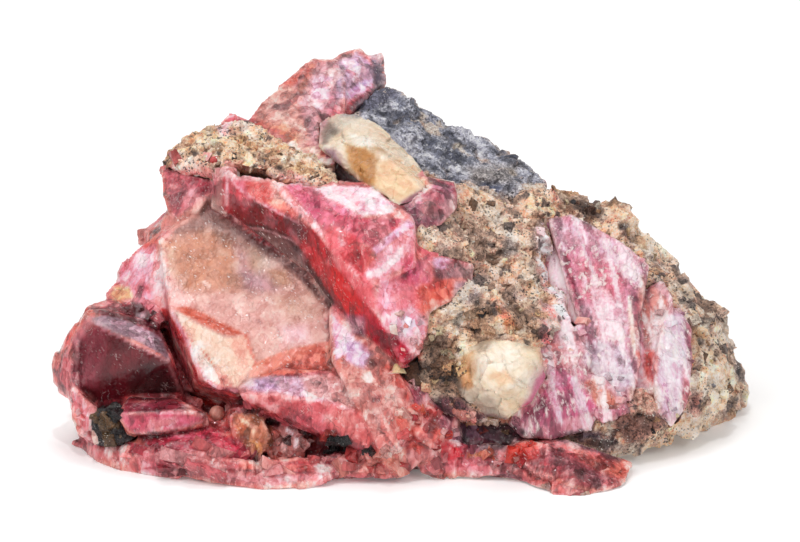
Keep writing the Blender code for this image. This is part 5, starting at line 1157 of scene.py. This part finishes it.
class Finish:
    """A material in the making, with the nodes that every mineral's finish shares."""

    def __init__(self, name):
        self.material = bpy.data.materials.new(name)
        self.material.use_nodes = True
        self.tree = self.material.node_tree
        self.shader = self.tree.nodes["Principled BSDF"]
        here = shader_node(self.tree, "ShaderNodeTexCoord").outputs["Object"]
        self.here = self.vector("SCALE", {0: here, "Scale": 1 / MM})
        self.tint = shader_node(self.tree, "ShaderNodeAttribute", attribute_name="tint").outputs["Color"]
        finish = shader_node(self.tree, "ShaderNodeAttribute", attribute_name="finish")
        self.mottle = finish.outputs["Alpha"]
        parts = shader_node(self.tree, "ShaderNodeSeparateColor", {0: finish.outputs["Color"]})
        self.gloss, self.dust, self.sparkle = parts.outputs[:3]

    def vector(self, operation, inputs):
        return shader_node(self.tree, "ShaderNodeVectorMath", inputs, operation=operation).outputs[0]

    def calc(self, operation, first, second=0.0, third=0.0):
        """The result of a sum or another operation on up to three figures."""
        return shader_node(self.tree, "ShaderNodeMath", {0: first, 1: second, 2: third},
                           operation=operation).outputs[0]

    def between(self, value, low, high, to_low=0.0, to_high=1.0):
        """A value's place between low and high, made one between to_low and to_high."""
        return shader_node(self.tree, "ShaderNodeMapRange",
                           {"Value": value, "From Min": low, "From Max": high, "To Min": to_low,
                            "To Max": to_high}, interpolation_type="SMOOTHSTEP").outputs[0]

    def stretched(self, turn, scale, kind="POINT"):
        """The place in millimetres, turned and stretched."""
        return shader_node(self.tree, "ShaderNodeMapping",
                           {"Vector": self.here, "Rotation": turn, "Scale": scale},
                           vector_type=kind).outputs[0]

    def noise(self, scale, detail=4.0, rough=0.55, distortion=0.0, where=None, output=0):
        return shader_node(self.tree, "ShaderNodeTexNoise",
                           {"Vector": where or self.here, "Scale": scale, "Detail": detail,
                            "Roughness": rough, "Distortion": distortion}).outputs[output]

    def shifted(self, where, by, reach):
        """Coordinates moved aside by a noise's colour, by up to about half that reach in mm."""
        centred = self.vector("SUBTRACT", {0: by, 1: (0.5, 0.5, 0.5)})
        return self.vector("ADD", {0: where, 1: self.vector("SCALE", {0: centred, "Scale": reach})})

    def cells(self, scale, where, feature="F1"):
        """How far a place is from the middle, or from the edge, of its cell."""
        return shader_node(self.tree, "ShaderNodeTexVoronoi", {"Vector": where, "Scale": scale},
                           feature=feature).outputs["Distance"]

    def facets(self, scale, where):
        """Packed cells with tilted tops: each cell's own tone, and the height in millimetres."""
        cell = shader_node(self.tree, "ShaderNodeTexVoronoi", {"Vector": where, "Scale": scale})
        offset = self.vector("SUBTRACT", {0: where, 1: cell.outputs["Position"]})
        tilt = self.vector("SUBTRACT", {0: cell.outputs["Color"], 1: (0.5, 0.5, 0.5)})
        height = shader_node(self.tree, "ShaderNodeVectorMath", {0: offset, 1: tilt},
                             operation="DOT_PRODUCT")
        tone = shader_node(self.tree, "ShaderNodeSeparateColor", {0: cell.outputs["Color"]}).outputs[0]
        return tone, height.outputs["Value"]

    def mix(self, first, second, weight, how="MIX"):
        return shader_node(self.tree, "ShaderNodeMix", {0: weight, 6: first, 7: second}, data_type="RGBA",
                           blend_type=how).outputs[2]

    def shade(self, colour, value, low, high, dark, light, weight):
        """The colour, darkened where the value is low and brightened where it is high; a tone of 0.5
        changes nothing."""
        tone = self.between(value, low, high, dark, light)
        grey = shader_node(self.tree, "ShaderNodeCombineColor", {0: tone, 1: tone, 2: tone}).outputs[0]
        return self.mix(colour, grey, weight, "OVERLAY")

    def broken(self, layers, where, weight):
        """The tint and the height of a stone broken into cells of several sizes, and the last cells'
        tone. A layer gives the cells' scale, how far their tones differ and how much they tilt."""
        colour, height = self.tint, 0.0
        for scale, contrast, tilt in layers:
            tone, slope = self.facets(scale, where)
            colour = self.shade(colour, tone, 0.0, 1.0, 0.5 - contrast, 0.5 + contrast, weight)
            height = self.calc("MULTIPLY_ADD", slope, tilt, height)
        return colour, height, tone

    def finish(self, colour, roughness, height, ior, inner=0.0, coat=0.0):
        """Connects the shader. The height of the bumps is in millimetres; inner is how much light
        enters the stone."""
        bump = shader_node(self.tree, "ShaderNodeBump", {"Height": height, "Distance": MM, "Strength": 1.0})
        self.tree.links.new(colour, self.shader.inputs["Base Color"])
        self.tree.links.new(roughness, self.shader.inputs["Roughness"])
        self.tree.links.new(bump.outputs[0], self.shader.inputs["Normal"])
        self.tree.links.new(bump.outputs[0], self.shader.inputs["Coat Normal"])
        self.shader.inputs["IOR"].default_value = ior
        self.shader.inputs["Coat Weight"].default_value = coat
        self.shader.inputs["Coat Roughness"].default_value = COAT_ROUGHNESS
        self.shader.inputs["Subsurface Weight"].default_value = inner
        self.shader.inputs["Subsurface Radius"].default_value = INNER_REACH
        self.shader.inputs["Subsurface Scale"].default_value = MM
        return self.material


def crystal_finish(name, lean, inner, coat, crust, fibre):
    """Rhodonite: glassy, broken inside into angular patches, with a white crust and bright white flecks
    painted as glints.
    """
    f = Finish(name)
    leaned = f.stretched(lean, (1.0, 1.0, 0.5))
    bent = f.shifted(leaned, f.noise(0.8, 3.0, output="Color"), 0.5)

    # Angular patches of three sizes, and small faces that glitter here and there
    colour, height, _ = f.broken(((0.45, 0.20, 0.22), (1.2, 0.20, 0.42), (3.2, 0.10, 0.38)), bent, f.mottle)
    some = f.between(f.noise(0.7, 5.0), 0.48, 0.62, 0.0, 1.3)
    glitter = f.calc("MULTIPLY", f.facets(5.0, bent)[1], some)
    height = f.calc("MULTIPLY", f.calc("ADD", height, glitter), f.mottle)

    # Dark cracks along some of the patches' edges
    crack = f.between(f.cells(1.0, bent, "DISTANCE_TO_EDGE"), 0.0, 0.035, 0.6, 0.0)
    cracked = f.calc("MULTIPLY", crack, f.between(f.noise(0.5, 3.0), 0.50, 0.60))
    darkened = f.mix(colour, CRACK_COLOUR, 0.7)
    colour = f.mix(colour, darkened, f.calc("MULTIPLY", cracked, f.mottle))
    height = f.calc("MULTIPLY_ADD", cracked, -0.05, height)

    # Clouds, fine grit and streaks along the crystals
    clouded = f.noise(1.1, 7.0, 0.6, 0.6, leaned)
    grit = f.noise(6.0, 4.0, 0.6)
    streak = f.noise(1.0, 6.0, 0.62, 0.2, f.stretched(lean, (3.0, 3.0, 0.25)))
    colour = f.shade(colour, clouded, 0.34, 0.66, 0.30, 0.72, f.mottle)
    colour = f.shade(colour, grit, 0.3, 0.7, 0.44, 0.57, 0.6)
    colour = f.shade(colour, streak, 0.3, 0.7, 0.5 - fibre, 0.5 + fibre, 0.8)

    # White: thin veils inside, a patchy crust, and bright flecks that are painted glints
    veil_line = f.calc("ABSOLUTE", f.calc("SUBTRACT", f.noise(0.6, 5.0, 0.6, 1.0, bent), 0.5))
    veil = f.calc("MULTIPLY", f.between(veil_line, 0.0, 0.010, 1.0, 0.0),
                  f.between(f.noise(0.4, 2.0), 0.5, 0.62))
    patchy = f.noise(1.1, 10.0, 0.66, 0.3, f.stretched(lean, (1.8, 1.8, 0.5)))
    level = f.between(f.dust, 0.0, 1.0, 0.76, 0.48)
    white = f.between(f.calc("SUBTRACT", patchy, level), 0.0, 0.16, 0.0, crust)
    dashes = f.cells(3.0, f.stretched((0.0, 0.7, 0.0), (2.8, 1.0, 1.0), "TEXTURE"))
    glint_fleck = f.calc("MULTIPLY_ADD", f.noise(1.0, 6.0, 0.6), -0.9, dashes)
    glint_fleck = f.calc("MULTIPLY", f.between(glint_fleck, -0.36, -0.28, 1.0, 0.0),
                   f.calc("MULTIPLY_ADD", f.sparkle, 0.55, 0.1))
    white = f.calc("MAXIMUM", f.calc("MAXIMUM", white, f.calc("MULTIPLY", veil, 0.4)), glint_fleck)
    colour = f.mix(colour, CRUST_AND_GLINT_WHITE, white)

    patch_roughness = f.between(f.facets(1.2, bent)[0], 0.2, 0.8, 0.30, 0.52)
    roughness = f.calc("MULTIPLY_ADD", f.gloss, -0.26, patch_roughness)
    roughness = f.calc("ADD", roughness, f.calc("MULTIPLY", white, 0.3))
    height = f.calc("MULTIPLY_ADD", streak, fibre * 0.3, f.calc("MULTIPLY_ADD", clouded, 0.08, height))
    height = f.calc("MULTIPLY_ADD", white, 0.03, height)
    return f.finish(colour, roughness, height, GLASSY_IOR, inner, coat)


def rock_finish(name, grain, contrast, low, high):
    """Granular rock: its grains differ in tone, lean their own ways and shine between low and high
    roughness."""
    f = Finish(name)
    bent = f.shifted(f.here, f.noise(1.2, 4.0, output="Color"), 0.6)
    sizes = ((grain * 0.45, contrast * 0.6, 0.35), (grain, contrast, 0.5), (grain * 2.6, contrast * 0.8, 0.5))
    colour, height, tone = f.broken(sizes, bent, 1.0)
    fine = f.noise(5.0, 8.0, 0.7)
    colour = f.shade(colour, fine, 0.3, 0.7, 0.18, 0.84, 0.8)
    patch = f.noise(0.45, 5.0, 0.6)
    dark = f.between(f.calc("MULTIPLY_ADD", patch, -1.3, f.cells(3.0, bent)), -0.48, -0.38, 1.0, 0.0)
    colour = f.mix(colour, SPECK_COLOUR, f.calc("MULTIPLY", dark, 0.8))
    pale = f.between(f.calc("MULTIPLY_ADD", patch, 1.1, f.cells(3.6, bent)), 0.56, 0.66, 0.8, 0.0)
    colour = f.mix(colour, CHALK_COLOUR, pale)
    roughness = f.between(tone, 0.0, 1.0, low, high)
    height = f.calc("MULTIPLY_ADD", fine, 0.10, height)
    return f.finish(colour, roughness, height, ROCK_IOR)


def quartz_finish(name, inner):
    """Quartz: milky and waxy, broken into smooth faces, with faint clouds."""
    f = Finish(name)
    bent = f.shifted(f.here, f.noise(0.9, 4.0, output="Color"), 0.7)
    tone, slope = f.facets(0.8, bent)
    clouded = f.noise(0.9, 7.0, 0.6, 0.8)
    colour = f.shade(f.tint, clouded, 0.25, 0.75, 0.34, 0.66, 0.6)
    colour = f.shade(colour, tone, 0.0, 1.0, 0.46, 0.54, 1.0)
    roughness = f.between(f.facets(2.4, bent)[0], 0.0, 1.0, 0.16, 0.40)
    height = f.calc("MULTIPLY_ADD", clouded, 0.25, f.calc("MULTIPLY", slope, 0.12))
    return f.finish(colour, roughness, height, QUARTZ_IOR, inner, 0.4)


def dress(material, slot, *dressed):
    """Gives skins and small pieces their material and hangs them on the stone's root."""
    for item in dressed:
        obj = item.obj if isinstance(item, Skin) else item
        obj.data.materials.append(material)
        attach(obj, "root")
        if isinstance(item, Skin):
            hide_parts(item.node)
        obj.data.set_sharp_from_angle(angle=SHARP_EDGE)


dress(crystal_finish("rhodonite_glassy", (0.35, 0.5, 0.1), inner=0.2, coat=0.3, crust=0.6, fibre=0.05),
      "rhodonite", crystals, crystals_back, crystal_rubble, bead)
dress(crystal_finish("rhodonite_fibrous", (-0.24, 0.25, 0.0), inner=0.1, coat=0.3, crust=0.85, fibre=0.22),
      "fibrous_rhodonite", panel)
dress(rock_finish("speckled_rock", grain=2.1, contrast=0.10, low=0.8, high=0.45),
      "host_rock", host, host_back, band, rock_rubble, gap_block)
dress(rock_finish("grey_mineral", grain=3.4, contrast=0.15, low=0.6, high=0.3), "grey_cap", cap)
dress(quartz_finish("honey_quartz_waxy", 0.3), "honey_quartz", honey)
dress(quartz_finish("cream_quartz_milky", 0.25), "cream_quartz", cream, chip)
dress(rock_finish("black_crystal_crust", grain=3.5, contrast=0.1, low=0.3, high=0.15),
      "black_crystals", black, black_grains)


# Floor, light and camera

FLOOR_SIZE = 8.0
ROOM_LIGHT = 0.34
SENSOR_WIDTH = 36.0            # the camera's own, in millimetres
VIEWER_AWAY = 1.5              # metres from the stone's middle
MIDDLE = place(DRAWING_WIDE / 2.0, 27.1, 0.0)

# Each lamp's azimuth (0 is the viewer's side) and elevation in degrees, its distance and size in
# metres, and its watts
LAMPS = {
    "key": (-46.0, 50.0, 0.60, 0.36, 1.2),
    "right": (60.0, 40.0, 0.70, 0.30, 0.6),
    "top": (180.0, 78.0, 0.60, 0.22, 0.75),
    "rear": (170.0, 30.0, 0.70, 0.40, 0.6),
    "glint_high": (-8.0, 70.0, 0.60, 0.02, 0.6),
    "glint_left": (-58.0, 24.0, 0.60, 0.02, 0.34),
    "glint_right": (34.0, 34.0, 0.60, 0.02, 0.34),
}


def plain_material(name, colour, roughness, glow):
    material = bpy.data.materials.new(name)
    material.use_nodes = True
    shader = material.node_tree.nodes["Principled BSDF"]
    shader.inputs["Base Color"].default_value = (*colour, 1.0)
    shader.inputs["Roughness"].default_value = roughness
    shader.inputs["Emission Color"].default_value = (1.0, 1.0, 1.0, 1.0)
    shader.inputs["Emission Strength"].default_value = glow
    return material


def lamp(name, azimuth, elevation, distance, size, watts):
    """A soft square lamp that shines on the stone."""
    data = bpy.data.lights.new(name, "AREA")
    data.energy = watts
    data.size = size
    obj = bpy.data.objects.new(name, data)
    bpy.context.scene.collection.objects.link(obj)
    a, e = math.radians(azimuth), math.radians(elevation)
    way = Vector((math.sin(a) * math.cos(e), -math.cos(a) * math.cos(e), math.sin(e)))
    obj.location = MIDDLE + way * distance
    obj.rotation_euler = way.to_track_quat("Z", "Y").to_euler()


bpy.ops.object.select_all(action="DESELECT")
bpy.ops.mesh.primitive_plane_add(size=FLOOR_SIZE, location=(0.0, 0.0, 0.0))
floor = bpy.context.object
floor.name = "floor"
floor.data.materials.append(plain_material("floor_white", (0.93, 0.93, 0.93), 0.9, 0.12))

world = bpy.data.worlds.new("studio")
world.use_nodes = True
world.node_tree.nodes["Background"].inputs["Color"].default_value = (1.0, 1.0, 1.0, 1.0)
world.node_tree.nodes["Background"].inputs["Strength"].default_value = ROOM_LIGHT
bpy.context.scene.world = world

for lamp_name, figures in LAMPS.items():
    lamp(lamp_name, *figures)

camera = bpy.data.cameras.new("camera")
camera.lens = SENSOR_WIDTH * VIEWER_AWAY / (DRAWING_WIDE * MM)
camera.clip_end = 20.0
viewer = bpy.data.objects.new("camera", camera)
bpy.context.scene.collection.objects.link(viewer)
toward = Vector(TOWARD)
viewer.location = MIDDLE + toward * VIEWER_AWAY
viewer.rotation_euler = toward.to_track_quat("Z", "Y").to_euler()
bpy.context.scene.camera = viewer
bpy.context.scene.view_settings.view_transform = "Standard"

bpy.context.view_layer.update()
